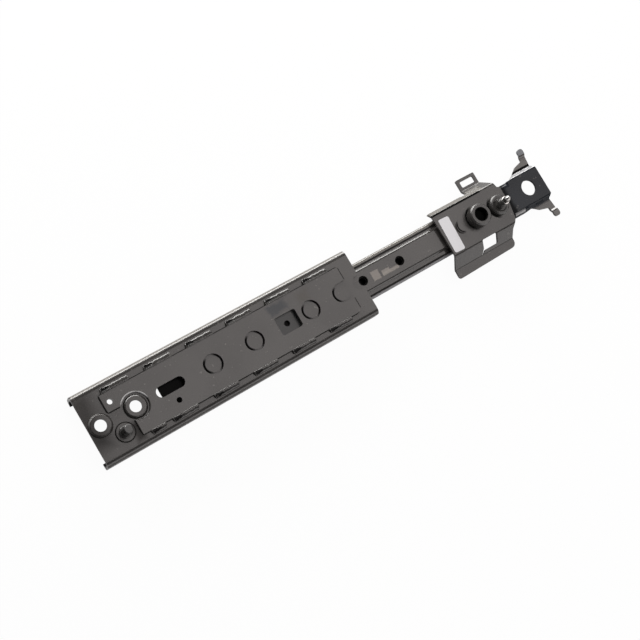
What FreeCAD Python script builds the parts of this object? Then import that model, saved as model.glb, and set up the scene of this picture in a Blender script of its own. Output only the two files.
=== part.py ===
import FreeCAD, Part
import math
import os
import Sketcher

# Seat slide rail, in millimetres. +X runs along the rail towards its drawn-out end, +Z out of the bolted
# face, and the origin is midway between the two bolt holes on the face of their bosses.

Vector = FreeCAD.Vector

SIZES = [
    ("hole_pitch", 33.0, "bolt hole to bolt hole"),
    ("first_hole_inset", 11.0, "rail end to first bolt hole"),
    ("bolt_hole", 10.5, "bolt hole, diameter"),
    ("boss_height", 3.0, "bolt boss above the web"),
    ("boss_foot_radius", 10.2, "bolt boss at the web"),
    ("boss_face_radius", 9.2, "bolt boss at its face"),
    ("boss_round", 1.3, "rounding of a boss's face"),
    ("boss_foot_round", 0.6, "rounding of a boss's foot"),
    ("drawn_wall", 2.2, "wall left at the side of a drawn boss"),
    ("rail_length", 282.5, "outer rail"),
    ("rail_width", 68.0, "outer rail"),
    ("rail_depth", 22.0, "outer rail"),
    ("rail_sheet", 3.0, "outer rail, sheet"),
    ("rail_bend", 6.0, "outer rail, web bend"),
    ("lip_bend", 4.6, "outer rail, lip bend"),
    ("lip_length", 6.1, "outer rail, lip from its wall"),
    ("notch_depth", 9.2, "notch in the open end"),
    ("notch_width", 13.6, "notch in the open end"),
    ("pad_x", -1.2, "round pad"),
    ("pad_y", -14.8, "round pad"),
    ("pad_radius", 8.3, "round pad"),
    ("pad_height", 1.0, "round pad above the web"),
    ("button_radius", 7.6, "half-pierced button"),
    ("button_height", 1.5, "half-pierced button above the web"),
    ("button_gap", 1.6, "clearance round a button"),
    ("button_one_x", 92.5, "first button"),
    ("button_two_x", 135.5, "second button"),
    ("button_three_x", 196.3, "third button"),
    ("button_four_x", 230.8, "fourth button"),
    ("button_y", -0.5, "buttons and window off the rail's middle"),
    ("slot_x", 50.2, "slot centre"),
    ("slot_length", 27.3, "slot, end to end"),
    ("slot_width", 9.8, "slot"),
    ("window_x", 171.8, "window centre"),
    ("window_length", 21.9, "window"),
    ("window_width", 17.4, "window"),
    ("window_round", 2.0, "window corners"),
    ("pilot_hole", 5.0, "small through holes"),
    ("upper_pilot_x", -0.2, "pilot hole by the bolt holes"),
    ("upper_pilot_y", 13.9, "pilot hole by the bolt holes"),
    ("lower_pilot_x", 51.1, "pilot hole by the slot"),
    ("lower_pilot_y", -13.4, "pilot hole by the slot"),
    ("plate_sheet", 2.5, "mounting plate"),
    ("plate_upper_edge", 23.0, "mounting plate, upper edge from the middle"),
    ("plate_lower_edge", 24.6, "mounting plate, lower edge from the middle"),
    ("plate_left", -6.8, "mounting plate, upper left edge"),
    ("plate_step", 10.0, "mounting plate, lower left edge"),
    ("plate_shoulder_y", 5.5, "mounting plate, edge above the bosses"),
    ("plate_right", 240.0, "mounting plate, right edge"),
    ("plate_boss_gap", 1.6, "plate round the boss's foot"),
    ("plate_rim_round", 0.8, "plate's rim round the boss"),
    ("plate_round", 2.0, "plate's corners"),
    ("upper_weld_pitch", 41.2, "upper bead to upper bead"),
    ("lower_weld_pitch", 41.0, "lower bead to lower bead"),
    ("upper_weld_start", -3.5, "first upper bead"),
    ("upper_weld_length", 27.2, "upper bead"),
    ("upper_weld_width", 4.4, "upper bead"),
    ("lower_weld_start", 38.2, "first full lower bead"),
    ("lower_weld_length", 25.3, "lower bead"),
    ("lower_weld_width", 2.5, "lower bead"),
    ("short_weld_start", 17.4, "short lower bead"),
    ("short_weld_length", 14.4, "short lower bead"),
    ("weld_height", 2.3, "bead above the web"),
    ("weld_pool", 0.8, "bead's first pool beyond the rest of it"),
    ("pin_radius", 3.9, "locating pin"),
    ("pin_height", 21.0, "locating pin above the pad"),
    ("pin_collar_radius", 5.4, "locating pin's collar"),
    ("pin_collar_height", 2.0, "locating pin's collar"),
    ("pin_collar_chamfer", 0.6, "locating pin's collar"),
    ("pin_shank_radius", 2.9, "locating pin in the pad"),
    ("pin_tail_radius", 4.6, "locating pin's riveted tail"),
    ("pin_tail_height", 1.4, "locating pin's riveted tail"),
    ("pin_chamfer", 0.8, "locating pin's end"),
    ("nut_plate_length", 30.0, "nut plate"),
    ("nut_plate_width", 26.0, "nut plate"),
    ("nut_plate_sheet", 2.0, "nut plate"),
    ("nut_plate_hole", 5.0, "nut plate, threaded hole"),
    ("inner_gap", 2.4, "inner rail below the outer web"),
    ("inner_left", 41.5, "inner rail's hidden end"),
    ("inner_length", 392.5, "inner rail"),
    ("inner_width", 37.8, "inner rail"),
    ("inner_depth", 12.1, "inner rail"),
    ("inner_sheet", 2.5, "inner rail, sheet"),
    ("inner_bend", 3.0, "inner rail, outer bends"),
    ("ledge_bend", 0.5, "inner rail, foot of the raised face"),
    ("inner_face_width", 20.8, "inner rail, raised face"),
    ("inner_step", 1.8, "inner rail, raised face above its ledges"),
    ("inner_hole", 9.6, "inner rail, holes"),
    ("inner_hole_one_x", 259.3, "inner rail, first hole"),
    ("inner_hole_two_x", 302.7, "inner rail, second hole"),
    ("ball_radius", 6.35, "ball"),
    ("race_gap", 0.05, "ball to race"),
    ("race_depth", 0.5, "race pressed into the outer wall"),
    ("ball_pitch", 40.0, "ball to ball"),
    ("balls_per_side", 3, "balls in a cage"),
    ("cage_left", 97.0, "cage, rest position"),
    ("cage_margin", 8.0, "cage end to its first ball"),
    ("cage_sheet", 1.5, "cage strip"),
    ("cage_height", 15.0, "cage strip"),
    ("cage_round", 1.5, "cage strip's corners"),
    ("cage_ball_gap", 0.15, "ball to cage"),
    ("stop_tab_length", 2.5, "cage stops"),
    ("stop_tab_inset", 6.5, "cage stop from the open end"),
    ("yoke_sheet", 2.5, "yoke"),
    ("yoke_left", 362.0, "yoke's tongue"),
    ("yoke_tongue_width", 20.0, "yoke's tongue"),
    ("yoke_neck_left", 436.0, "yoke's neck"),
    ("yoke_neck_right", 457.0, "yoke's neck flanges"),
    ("yoke_neck_upper", 17.0, "yoke's neck, upper side from the middle"),
    ("yoke_neck_lower", 19.2, "yoke's neck, lower side from the middle"),
    ("yoke_neck_depth", 9.0, "yoke's neck flanges"),
    ("yoke_neck_bend", 6.0, "yoke's neck flanges"),
    ("yoke_neck_end", 454.0, "where the neck widens"),
    ("yoke_hip_x", 462.6, "where the neck meets the body's slopes"),
    ("yoke_ear_x", 470.0, "where the ears leave the slopes"),
    ("yoke_ear_lift", 5.4, "ears beyond the slopes at that place"),
    ("yoke_ear_width", 8.0, "ears beyond the slopes at the fingers"),
    ("yoke_ear_bend", 10.5, "fold of a finger beyond the slopes"),
    ("yoke_finger_bend", 2.5, "length of that fold"),
    ("yoke_body_left", 450.0, "yoke's body"),
    ("yoke_right", 488.6, "yoke's end"),
    ("yoke_heel", 3.0, "end of the body behind the fingers"),
    ("yoke_heel_inset", 4.0, "end of the body inside its slopes"),
    ("yoke_shift", 1.2, "yoke's body off the rail's middle"),
    ("yoke_top_width", 32.0, "yoke's body, flat top"),
    ("yoke_foot_width", 39.0, "yoke's body, foot of its slopes"),
    ("yoke_drop", 3.8, "yoke's ears below its top"),
    ("yoke_hole", 16.3, "yoke's hole"),
    ("yoke_hole_x", 468.7, "yoke's hole"),
    ("finger_reach", 39.0, "fingers from the yoke's middle"),
    ("finger_rise", 2.0, "fingers above the ears"),
    ("finger_width", 7.5, "fingers"),
    ("finger_inset", 1.0, "fingers from the yoke's end"),
    ("bracket_sheet", 2.5, "end bracket"),
    ("bracket_upper_bend", 3.2, "end bracket, upper fold"),
    ("bracket_lower_bend", 4.0, "end bracket, lower fold"),
    ("bracket_second_bend", 1.5, "end bracket, second lower fold"),
    ("bracket_ear_bend", 0.8, "end bracket, ear"),
    ("bracket_upper_fold", 22.0, "upper fold from the middle"),
    ("bracket_lower_fold", 22.3, "lower fold from the middle"),
    ("face_left", 354.0, "bracket's face, upper left corner"),
    ("fold_left", 354.4, "bracket's lower fold, left end"),
    ("wing_left", 351.8, "bracket's second fold, left end"),
    ("lip_left", 351.4, "bracket's lip, left end"),
    ("lip_left_reach", 44.2, "bracket's lip from the middle, left end"),
    ("lip_right_reach", 42.9, "bracket's lip from the middle, right end"),
    ("shoulder_x", 433.4, "bracket's upper right shoulder"),
    ("shoulder_y", 22.6, "bracket's upper right shoulder"),
    ("shoulder_foot_y", 17.0, "foot of that shoulder"),
    ("nose_x", 437.8, "bracket's right edge"),
    ("nose_top_y", 15.6, "bracket's right edge, upper end"),
    ("nose_foot_y", -4.0, "bracket's right edge, lower end"),
    ("heel_x", 434.8, "bracket's lower right heel"),
    ("heel_y", -19.3, "bracket's lower right heel"),
    ("wing_root_x", 428.4, "bracket's wing, right side"),
    ("wing_root_y", -27.3, "bracket's wing, right side"),
    ("ear_level", 9.9, "ear below the bracket's face"),
    ("ear_root", 30.6, "ear's inner edge from the middle"),
    ("ear_end", 42.6, "ear's outer edge from the middle"),
    ("ear_left", 403.6, "ear"),
    ("ear_right", 426.6, "ear"),
    ("ear_window_left", 406.9, "ear's window"),
    ("ear_window_right", 423.7, "ear's window"),
    ("ear_window_near", 33.3, "ear's window from the middle"),
    ("ear_window_far", 39.6, "ear's window from the middle"),
    ("relief_left", 395.6, "relief cut along the ear's root"),
    ("relief_right", 420.1, "relief cut along the ear's root"),
    ("relief_width", 0.6, "relief cut along the ear's root"),
    ("flange_edge", 26.0, "upper flange's edge from the middle"),
    ("wing_level", 9.5, "lip below the bracket's face"),
    ("wing_fold", 34.6, "second lower fold from the middle"),
    ("wing_right", 426.0, "lip's right edge"),
    ("wing_window_left", 389.3, "window in the wing, left"),
    ("wing_window_right", 408.2, "window in the wing, right"),
    ("wing_window_foot", 407.1, "window in the wing, lower right"),
    ("wing_window_near", 21.9, "window in the wing, from the middle"),
    ("wing_window_end", 31.2, "window in the wing, from the middle"),
    ("slit_x", 386.2, "slit from the window, its end"),
    ("slit_end", 34.4, "slit from the window, its end from the middle"),
    ("slit_width", 1.6, "slit from the window"),
    ("moon_x", 377.8, "half-moon's middle"),
    ("moon_y", -0.8, "half-moon's middle"),
    ("moon_radius", 6.9, "half-moon"),
    ("moon_height", 1.6, "half-moon"),
    ("moon_wall", 0.4, "half-moon's wall"),
    ("label_length", 35.8, "label"),
    ("label_width", 12.0, "label"),
    ("label_thickness", 0.2, "label"),
    ("label_left", 357.0, "label's left edge"),
    ("label_y", -2.6, "label's middle"),
    ("label_turn", -2.5, "label's turn, degrees"),
    ("label_round", 2.0, "label's corners"),
    ("screw_x", 397.5, "socket screw"),
    ("screw_head_radius", 11.2, "socket screw's head"),
    ("screw_head_height", 9.5, "socket screw's head"),
    ("screw_head_chamfer", 1.2, "socket screw's head"),
    ("screw_shank_radius", 6.0, "socket screw's shank"),
    ("screw_shank_length", 17.6, "socket screw's shank under its head"),
    ("screw_nut_flats", 18.0, "socket screw's nut"),
    ("screw_nut_height", 7.0, "socket screw's nut"),
    ("socket_flats", 12.4, "twelve-point socket"),
    ("socket_depth", 7.6, "twelve-point socket"),
    ("socket_point", 3.0, "cone under the socket"),
    ("socket_point_radius", 5.4, "cone under the socket"),
    ("stud_x", 425.0, "flange stud"),
    ("stud_flange_radius", 10.3, "flange stud's flange"),
    ("stud_flange_height", 4.5, "flange stud's flange"),
    ("stud_flange_chamfer", 1.2, "flange stud's flange"),
    ("stud_hex_flats", 10.0, "flange stud's hexagon"),
    ("stud_hex_height", 3.8, "flange stud's hexagon"),
    ("stud_thread_radius", 4.0, "flange stud's thread"),
    ("stud_thread_length", 7.4, "flange stud's thread"),
    ("stud_tip_radius", 3.15, "flange stud's smooth tip"),
    ("stud_tip_length", 8.2, "flange stud's smooth tip"),
    ("stud_tip_chamfer", 1.2, "flange stud's smooth tip"),
    ("stud_shank_radius", 5.0, "flange stud's shank"),
    ("stud_shank_length", 16.0, "flange stud's shank under its flange"),
    ("stud_nut_flats", 15.0, "flange stud's nut"),
    ("stud_nut_height", 5.6, "flange stud's nut"),
    ("shank_chamfer", 1.0, "ends of the two shanks"),
    ("hole_gap", 0.3, "shank to hole"),
    ("washer_thickness", 1.6, "washers"),
    ("washer_rim", 2.9, "washer's rim beyond its shank"),
    ("weld_nut_flats", 13.0, "nuts behind the inner rail"),
    ("weld_nut_height", 8.6, "nuts behind the inner rail, closed end included"),
    ("weld_nut_hole", 6.8, "nuts behind the inner rail, thread"),
    ("weld_nut_depth", 6.5, "nuts behind the inner rail, thread"),
    ("tight_round", 1.2, "small corners of bracket and yoke"),
    ("middle_round", 3.0, "middling corners of bracket and yoke"),
    ("soft_round", 6.0, "soft corners of bracket and yoke"),
]


class Size:
    """A number together with the spreadsheet expression that gives it."""

    def __init__(self, value, text):
        self.value = value
        self.text = text

    def __add__(self, other):
        other = sized(other)
        return Size(self.value + other.value, f"({self.text} + {other.text})")

    def __sub__(self, other):
        other = sized(other)
        return Size(self.value - other.value, f"({self.text} - {other.text})")

    def __mul__(self, other):
        other = sized(other)
        return Size(self.value * other.value, f"({self.text} * {other.text})")

    def __truediv__(self, other):
        other = sized(other)
        return Size(self.value / other.value, f"({self.text} / {other.text})")

    def __neg__(self):
        return Size(-self.value, f"(0 - {self.text})")


def sized(number):
    """A plain number as a Size; a Size stays as it is."""
    if isinstance(number, Size):
        return number
    return Size(float(number), f"({number})")


def fill_sheet(doc):
    """The driving dimensions, one named cell each."""
    sheet = doc.addObject("Spreadsheet::Sheet", "Sizes")
    for row, (alias, number, note) in enumerate(SIZES, start=1):
        sheet.set(f"A{row}", note)
        sheet.set(f"B{row}", str(number))
        sheet.setAlias(f"B{row}", alias)
    doc.recompute()
    return sheet


doc = FreeCAD.newDocument("SeatSlideRail")
sheet = fill_sheet(doc)


def size(alias):
    return Size(float(sheet.get(alias)), f"Sizes.{alias}")


def bind(item, path, amount):
    """Bind one property of an object to the sheet."""
    item.setExpression(path, sized(amount).text)


# Levels and places that several pieces share

half_pitch = size("hole_pitch") / 2
rail_left = -half_pitch - size("first_hole_inset")
rail_right = rail_left + size("rail_length")
web_top = -size("boss_height")
web_under = web_top - size("rail_sheet")
lip_bottom = web_top - size("rail_depth")
plate_top = web_top + size("plate_sheet")
inner_top = web_under - size("inner_gap")
inner_under = inner_top - size("inner_sheet")
ball_level = (web_under + lip_bottom + size("rail_sheet")) / 2
outer_race = size("rail_width") / 2 - size("rail_sheet") + size("race_depth")
race_radius = size("ball_radius") + size("race_gap")
ball_offset = outer_race - race_radius
yoke_top = inner_top + size("yoke_sheet")
bracket_top = yoke_top + size("bracket_sheet")
screw_hole = (size("screw_shank_radius") + size("hole_gap")) * 2
stud_hole = (size("stud_shank_radius") + size("hole_gap")) * 2
button_places = [size(f"button_{word}_x") for word in ("one", "two", "three", "four")]
button_y = size("button_y")
tight, middle, soft = size("tight_round"), size("middle_round"), size("soft_round")
CUT_REACH = 60.0
TRIM_SPARE = 2.0
SLOT_ROUND_SHARE = 0.999
UPPER_BEADS = 6
LOWER_BEADS = 5
PILOT_HOLES = [("upper_pilot_x", "upper_pilot_y"), ("lower_pilot_x", "lower_pilot_y")]


# Bodies, planes and sketches

def new_body(name):
    body = doc.addObject("PartDesign::Body", name)
    body.Label = name
    return body


def new_sketch(body, name, role, offset=0.0):
    """A sketch on one of its body's origin planes, shifted along the plane's normal."""
    sketch = body.newObject("Sketcher::SketchObject", name)
    plane = [item for item in body.Origin.OriginFeatures if item.Role == role][0]
    sketch.AttachmentSupport = [(plane, "")]
    sketch.MapMode = "FlatFace"
    bind(sketch, "AttachmentOffset.Base.z", offset)
    return sketch


def fix_number(sketch, kind, arguments, amount):
    """A dimension in a sketch, bound to the sheet."""
    amount = sized(amount)
    index = sketch.addConstraint(Sketcher.Constraint(kind, *arguments, amount.value))
    sketch.setExpression(f"Constraints[{index}]", amount.text)


def fix_point(sketch, geometry, position, x, y):
    """A point held at x, y from the sketch's origin."""
    fix_number(sketch, "DistanceX", (-1, 1, geometry, position), x)
    fix_number(sketch, "DistanceY", (-1, 1, geometry, position), y)


def add_circle(sketch, x, y, diameter):
    x, y, diameter = sized(x), sized(y), sized(diameter)
    circle = Part.Circle(Vector(x.value, y.value, 0), Vector(0, 0, 1), diameter.value / 2)
    index = sketch.addGeometry(circle)
    fix_point(sketch, index, 3, x, y)
    fix_number(sketch, "Diameter", (index,), diameter)


def corner_arc(before, corner, after, radius):
    """Where the arc that rounds a corner starts and ends, its centre, and whether it turns left."""
    back = (before - corner).normalize()
    ahead = (after - corner).normalize()
    half = back.getAngle(ahead) / 2
    reach = radius / math.tan(half)
    centre = corner + (back + ahead).normalize() * (radius / math.sin(half))
    return corner + back * reach, corner + ahead * reach, centre, back.cross(ahead).z < 0


def draw_arc(sketch, start, end, centre, left):
    """An arc from start to end; returns its index and the positions of its start and its end."""
    first, last = (start, end) if left else (end, start)
    low = math.atan2(first.y - centre.y, first.x - centre.x)
    high = math.atan2(last.y - centre.y, last.x - centre.x)
    if high < low:
        high += 2 * math.pi
    circle = Part.Circle(centre, Vector(0, 0, 1), (start - centre).Length)
    index = sketch.addGeometry(Part.ArcOfCircle(circle, low, high))
    return (index, 1, 2) if left else (index, 2, 1)


def draw_chain(sketch, points, radii, closed):
    """Lines from point to point, with an arc at each point that has a radius."""
    count = len(points)
    arcs = {}
    for place, radius in enumerate(radii):
        if radius:
            arcs[place] = corner_arc(points[place - 1], points[place], points[(place + 1) % count], radius)
    lines = []
    for place in range(count if closed else count - 1):
        after = (place + 1) % count
        start = arcs[place][1] if place in arcs else points[place]
        end = arcs[after][0] if after in arcs else points[after]
        lines.append(sketch.addGeometry(Part.LineSegment(start, end)))
    bends = {place: draw_arc(sketch, *arc) for place, arc in arcs.items()}
    for place in range(count):
        if not closed and place in (0, count - 1):
            continue
        before, after = lines[place - 1], lines[place]
        if place in bends:
            index, start, end = bends[place]
            sketch.addConstraint(Sketcher.Constraint("Tangent", before, 2, index, start))
            sketch.addConstraint(Sketcher.Constraint("Tangent", index, end, after, 1))
        else:
            sketch.addConstraint(Sketcher.Constraint("Coincident", before, 2, after, 1))
    return lines, bends


def fix_chain(sketch, corners, lines, bends, closed):
    """Hold each corner of a chain at its own place and each arc at its own radius."""
    for place, (x, y, radius) in enumerate(corners):
        if place in bends:
            point = sketch.addGeometry(Part.Point(Vector(sized(x).value, sized(y).value, 0)), True)
            sketch.addConstraint(Sketcher.Constraint("PointOnObject", point, 1, lines[place - 1]))
            sketch.addConstraint(Sketcher.Constraint("PointOnObject", point, 1, lines[place]))
            fix_point(sketch, point, 1, x, y)
            fix_number(sketch, "Radius", (bends[place][0],), radius)
        elif not closed and place == len(corners) - 1:
            fix_point(sketch, lines[-1], 2, x, y)
        else:
            fix_point(sketch, lines[place], 1, x, y)


def flat_points(corners):
    return [Vector(sized(x).value, sized(y).value, 0) for x, y, radius in corners]


def add_outline(sketch, corners):
    """A closed outline; each corner is (x, y, rounding), and a rounding of None leaves it sharp."""
    radii = [sized(radius).value if radius else None for x, y, radius in corners]
    lines, bends = draw_chain(sketch, flat_points(corners), radii, True)
    fix_chain(sketch, corners, lines, bends, True)


def add_sheet_section(sketch, corners, thickness):
    """A folded sheet seen from its end. The corners follow its outer face, and the sheet lies to the left."""
    points = flat_points(corners)
    radii = [sized(radius).value if radius else None for x, y, radius in corners]
    lines, bends = draw_chain(sketch, points, radii, False)
    fix_chain(sketch, corners, lines, bends, False)
    headings = [(after - before).normalize() for before, after in zip(points, points[1:])]
    normals = [Vector(-heading.y, heading.x, 0) for heading in headings]
    normals = [normals[0]] + normals + [normals[-1]]
    inner_points = []
    for point, first, second in zip(points, normals, normals[1:]):
        mitre = (first + second) * (thickness.value / (1 + first.dot(second)))
        inner_points.append(point + mitre)
    inner_bends = []
    for place, (x, y, radius) in enumerate(corners):
        if not radius:
            inner_bends.append(None)
        elif bends[place][1] == 1:
            inner_bends.append(sized(radius) - thickness)
        else:
            inner_bends.append(sized(radius) + thickness)
    inner_radii = [radius.value if radius else None for radius in inner_bends]
    inner_lines, inner_arcs = draw_chain(sketch, inner_points, inner_radii, False)
    for outer, inner in zip(lines, inner_lines):
        sketch.addConstraint(Sketcher.Constraint("Parallel", outer, inner))
        fix_number(sketch, "Distance", (inner, 1, outer), thickness)
    for place, (index, start, end) in inner_arcs.items():
        fix_number(sketch, "Radius", (index,), inner_bends[place])
    for place, position in ((0, 1), (-1, 2)):
        ends = (points[place], inner_points[place])
        cap = sketch.addGeometry(Part.LineSegment(*ends))
        sketch.addConstraint(Sketcher.Constraint("Coincident", cap, 1, lines[place], position))
        sketch.addConstraint(Sketcher.Constraint("Coincident", cap, 2, inner_lines[place], position))
        sketch.addConstraint(Sketcher.Constraint("Perpendicular", cap, lines[place]))


def rectangle(left, right, bottom, top, rounding=None):
    return [(left, bottom, rounding), (right, bottom, rounding), (right, top, rounding), (left, top, rounding)]


def slot_outline(left, right, width, y=0.0):
    """A slot with round ends; its rounding falls just short of half its width."""
    half = width / 2
    return rectangle(left, right, -half + y, half + y, half * SLOT_ROUND_SHARE)


# Features

def pad(body, sketch, name, length):
    """Thicken a sketch along its plane's normal."""
    feature = body.newObject("PartDesign::Pad", name)
    feature.Profile = sketch
    bind(feature, "Length", length)
    return feature


def cut(body, sketch, name, length=CUT_REACH * 2):
    """Cut a sketch both ways from its plane."""
    feature = body.newObject("PartDesign::Pocket", name)
    feature.Profile = sketch
    feature.SideType = "Symmetric"
    bind(feature, "Length", length)
    return feature


def place_primitive(body, kind, name, x, y, z, **numbers):
    """A round primitive that stands on the body's XY plane at x, y, z."""
    feature = body.newObject(f"PartDesign::{kind}", name)
    plane = [item for item in body.Origin.OriginFeatures if item.Role == "XY_Plane"][0]
    feature.AttachmentSupport = [(plane, "")]
    feature.MapMode = "FlatFace"
    for axis, amount in zip("xyz", (x, y, z)):
        bind(feature, f"AttachmentOffset.Base.{axis}", amount)
    for path, amount in numbers.items():
        bind(feature, path, amount)
    return feature


def round_edges(body, name, radius, chosen):
    """Fillet the edges that a test picks from the body as it stands."""
    doc.recompute()
    base = body.Tip
    names = [f"Edge{place}" for place, edge in enumerate(base.Shape.Edges, start=1) if chosen(edge)]
    if not names:
        raise RuntimeError(f"no edge for {name}")
    feature = body.newObject("PartDesign::Fillet", name)
    feature.Base = (base, names)
    bind(feature, "Radius", radius)
    return feature


def circle_at(x, y, z, radius):
    """A test for full circles about a vertical line through x, y at height z."""
    centre = Vector(sized(x).value, sized(y).value, sized(z).value)

    def test(edge):
        curve = edge.Curve
        if not isinstance(curve, Part.Circle) or abs(curve.Radius - sized(radius).value) > 0.01:
            return False
        return (curve.Center - centre).Length < 0.01
    return test


def hexagon(flats, turn=0.0):
    """The corners of a hexagon about the origin, as parts of its size across flats."""
    reach = sized(flats) / math.sqrt(3)
    angles = [math.radians(60 * step + turn) for step in range(6)]
    return [(reach * math.cos(angle), reach * math.sin(angle), None) for angle in angles]


def stand_at(item, x, y, z):
    for axis, amount in zip("xyz", (x, y, z)):
        bind(item, f"Placement.Base.{axis}", amount)


def section_pad(body, name, left, length, corners, thickness):
    """A folded sheet's section, drawn across the rail and run along it."""
    sketch = new_sketch(body, f"{name}_section", "YZ_Plane", left)
    add_sheet_section(sketch, corners, thickness)
    return pad(body, sketch, f"{name}_run", length)


def cut_holes(body, name, holes):
    """Round holes through the sheet; each is (x, y, diameter)."""
    sketch = new_sketch(body, f"{name}_sketch", "XY_Plane")
    for x, y, diameter in holes:
        add_circle(sketch, x, y, diameter)
    return cut(body, sketch, name)


def cut_outline(body, name, corners):
    """One opening through the sheet."""
    sketch = new_sketch(body, f"{name}_sketch", "XY_Plane")
    add_outline(sketch, corners)
    return cut(body, sketch, name)


def trim_to_outline(body, name, corners):
    """Cut away all that lies outside an outline seen from above."""
    points = flat_points(corners)
    low_x, high_x = min(point.x for point in points), max(point.x for point in points)
    low_y, high_y = min(point.y for point in points), max(point.y for point in points)
    sketch = new_sketch(body, f"{name}_sketch", "XY_Plane")
    add_outline(sketch, rectangle(
        low_x - CUT_REACH, high_x + CUT_REACH, low_y - CUT_REACH, high_y + CUT_REACH))
    add_outline(sketch, corners)
    return cut(body, sketch, name)


# Outer rail

def draw_boss(body, name, x):
    """A bolt boss drawn out of the web, hollow behind, with a soft face edge and foot."""
    foot, face, height = size("boss_foot_radius"), size("boss_face_radius"), size("boss_height")
    wall = size("drawn_wall")
    place_primitive(body, "AdditiveCone", f"{name}_outside", x, 0, web_top,
                    Radius1=foot, Radius2=face, Height=height)
    place_primitive(body, "SubtractiveCone", f"{name}_inside", x, 0, web_under,
                    Radius1=foot - wall, Radius2=face - wall, Height=height)
    round_edges(body, f"{name}_face_round", size("boss_round"), circle_at(x, 0, 0, face))
    round_edges(body, f"{name}_foot_round", size("boss_foot_round"), circle_at(x, 0, web_top, foot))


def draw_pad(body):
    """The round pad under the locating pin."""
    x, y = size("pad_x"), size("pad_y")
    radius, height = size("pad_radius"), size("pad_height")
    place_primitive(body, "AdditiveCone", "pad_outside", x, y, web_top,
                    Radius1=radius, Radius2=radius - height / 2, Height=height)
    place_primitive(body, "SubtractiveCylinder", "pad_inside", x, y, web_under,
                    Radius=radius - size("drawn_wall"), Height=height)


def half_pierce_button(body, name, x):
    """A button pushed half through the web, with its hollow behind."""
    radius, height = size("button_radius"), size("button_height")
    place_primitive(body, "AdditiveCylinder", f"{name}_outside", x, button_y, web_top,
                    Radius=radius, Height=height)
    place_primitive(body, "SubtractiveCylinder", f"{name}_inside", x, button_y, web_under,
                    Radius=radius - size("race_gap"), Height=height)


def slot_corners():
    half = size("slot_length") / 2
    return slot_outline(size("slot_x") - half, size("slot_x") + half, size("slot_width"))


def window_corners():
    half_length, half_width = size("window_length") / 2, size("window_width") / 2
    left, right = size("window_x") - half_length, size("window_x") + half_length
    return rectangle(left, right, button_y - half_width, button_y + half_width, size("window_round"))


def pilot_holes():
    return [(size(x), size(y), size("pilot_hole")) for x, y in PILOT_HOLES]


def press_races(body):
    """The two ball races, pressed along the inside of the walls."""
    sketch = new_sketch(body, "race_section", "YZ_Plane", rail_left)
    for side in (1, -1):
        add_circle(sketch, ball_offset * side, ball_level, race_radius * 2)
    cut(body, sketch, "races", size("rail_length") * 2 + CUT_REACH)


def raise_rail_tabs(body):
    """Tabs raised from the lips at the open end, which stop the cages."""
    inner_wall = size("rail_width") / 2 - size("rail_sheet")
    lip_top = lip_bottom + size("rail_sheet")
    left = rail_right - size("stop_tab_inset")
    lip_edge = size("rail_width") / 2 - size("lip_length")
    tab_height = (ball_level - lip_top) / 2
    for name, side in (("upper_stop", 1), ("lower_stop", -1)):
        sketch = new_sketch(body, f"{name}_sketch", "XY_Plane", lip_top - size("race_gap"))
        near, far = lip_edge * side, (inner_wall - size("race_gap")) * side
        low, high = (near, far) if side > 0 else (far, near)
        add_outline(sketch, rectangle(left, left + size("stop_tab_length"), low, high))
        pad(body, sketch, name, tab_height)


def outer_rail():
    body = new_body("outer_rail")
    half = size("rail_width") / 2
    tip = half - size("lip_length")
    bend, lip_bend = size("rail_bend"), size("lip_bend")
    section = [
        (tip, lip_bottom, None), (half, lip_bottom, lip_bend), (half, web_top, bend),
        (-half, web_top, bend), (-half, lip_bottom, lip_bend), (-tip, lip_bottom, None),
    ]
    section_pad(body, "channel", rail_left, size("rail_length"), section, size("rail_sheet"))
    press_races(body)
    draw_boss(body, "first_boss", -half_pitch)
    draw_boss(body, "second_boss", half_pitch)
    draw_pad(body)
    for number, x in enumerate(button_places, start=1):
        half_pierce_button(body, f"button_{number}", x)
    holes = [(-half_pitch, 0, size("bolt_hole")), (half_pitch, 0, size("bolt_hole"))]
    pin_hole = (size("pin_shank_radius") + size("race_gap")) * 2
    cut_holes(body, "holes", holes + [(size("pad_x"), size("pad_y"), pin_hole)] + pilot_holes())
    cut_outline(body, "slot", slot_corners())
    cut_outline(body, "window", window_corners())
    notch_left = rail_right - size("notch_depth")
    cut_outline(body, "notch", slot_outline(notch_left, rail_right + size("notch_width"), size("notch_width")))
    raise_rail_tabs(body)
    return body


# Mounting plate and its welds

def mounting_plate():
    body = new_body("mounting_plate")
    upper, lower = size("plate_upper_edge"), -size("plate_lower_edge")
    left, step, right = size("plate_left"), size("plate_step"), size("plate_right")
    shoulder, corner = size("plate_shoulder_y"), size("plate_round")
    sketch = new_sketch(body, "plate_outline", "XY_Plane", web_top)
    add_outline(sketch, [
        (left, upper, corner), (left, shoulder, middle), (step, shoulder, None), (step, lower, corner),
        (right, lower, soft), (right, upper, middle),
    ])
    pad(body, sketch, "plate", size("plate_sheet"))
    clearance = (size("button_radius") + size("button_gap")) * 2
    boss_clearance = (size("boss_foot_radius") + size("plate_boss_gap")) * 2
    holes = [(x, button_y, clearance) for x in button_places[:3]]
    cut_holes(body, "clearances", holes + pilot_holes())
    cut_holes(body, "boss_clearance", [(half_pitch, 0, boss_clearance)])
    round_edges(body, "boss_rim", size("plate_rim_round"),
                circle_at(half_pitch, 0, plate_top, boss_clearance / 2))
    cut_outline(body, "slot", slot_corners())
    cut_outline(body, "window", window_corners())
    end_left = button_places[3] - clearance / 2
    cut_outline(body, "end_notch", slot_outline(end_left, right + clearance, clearance, button_y))
    return body


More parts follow.
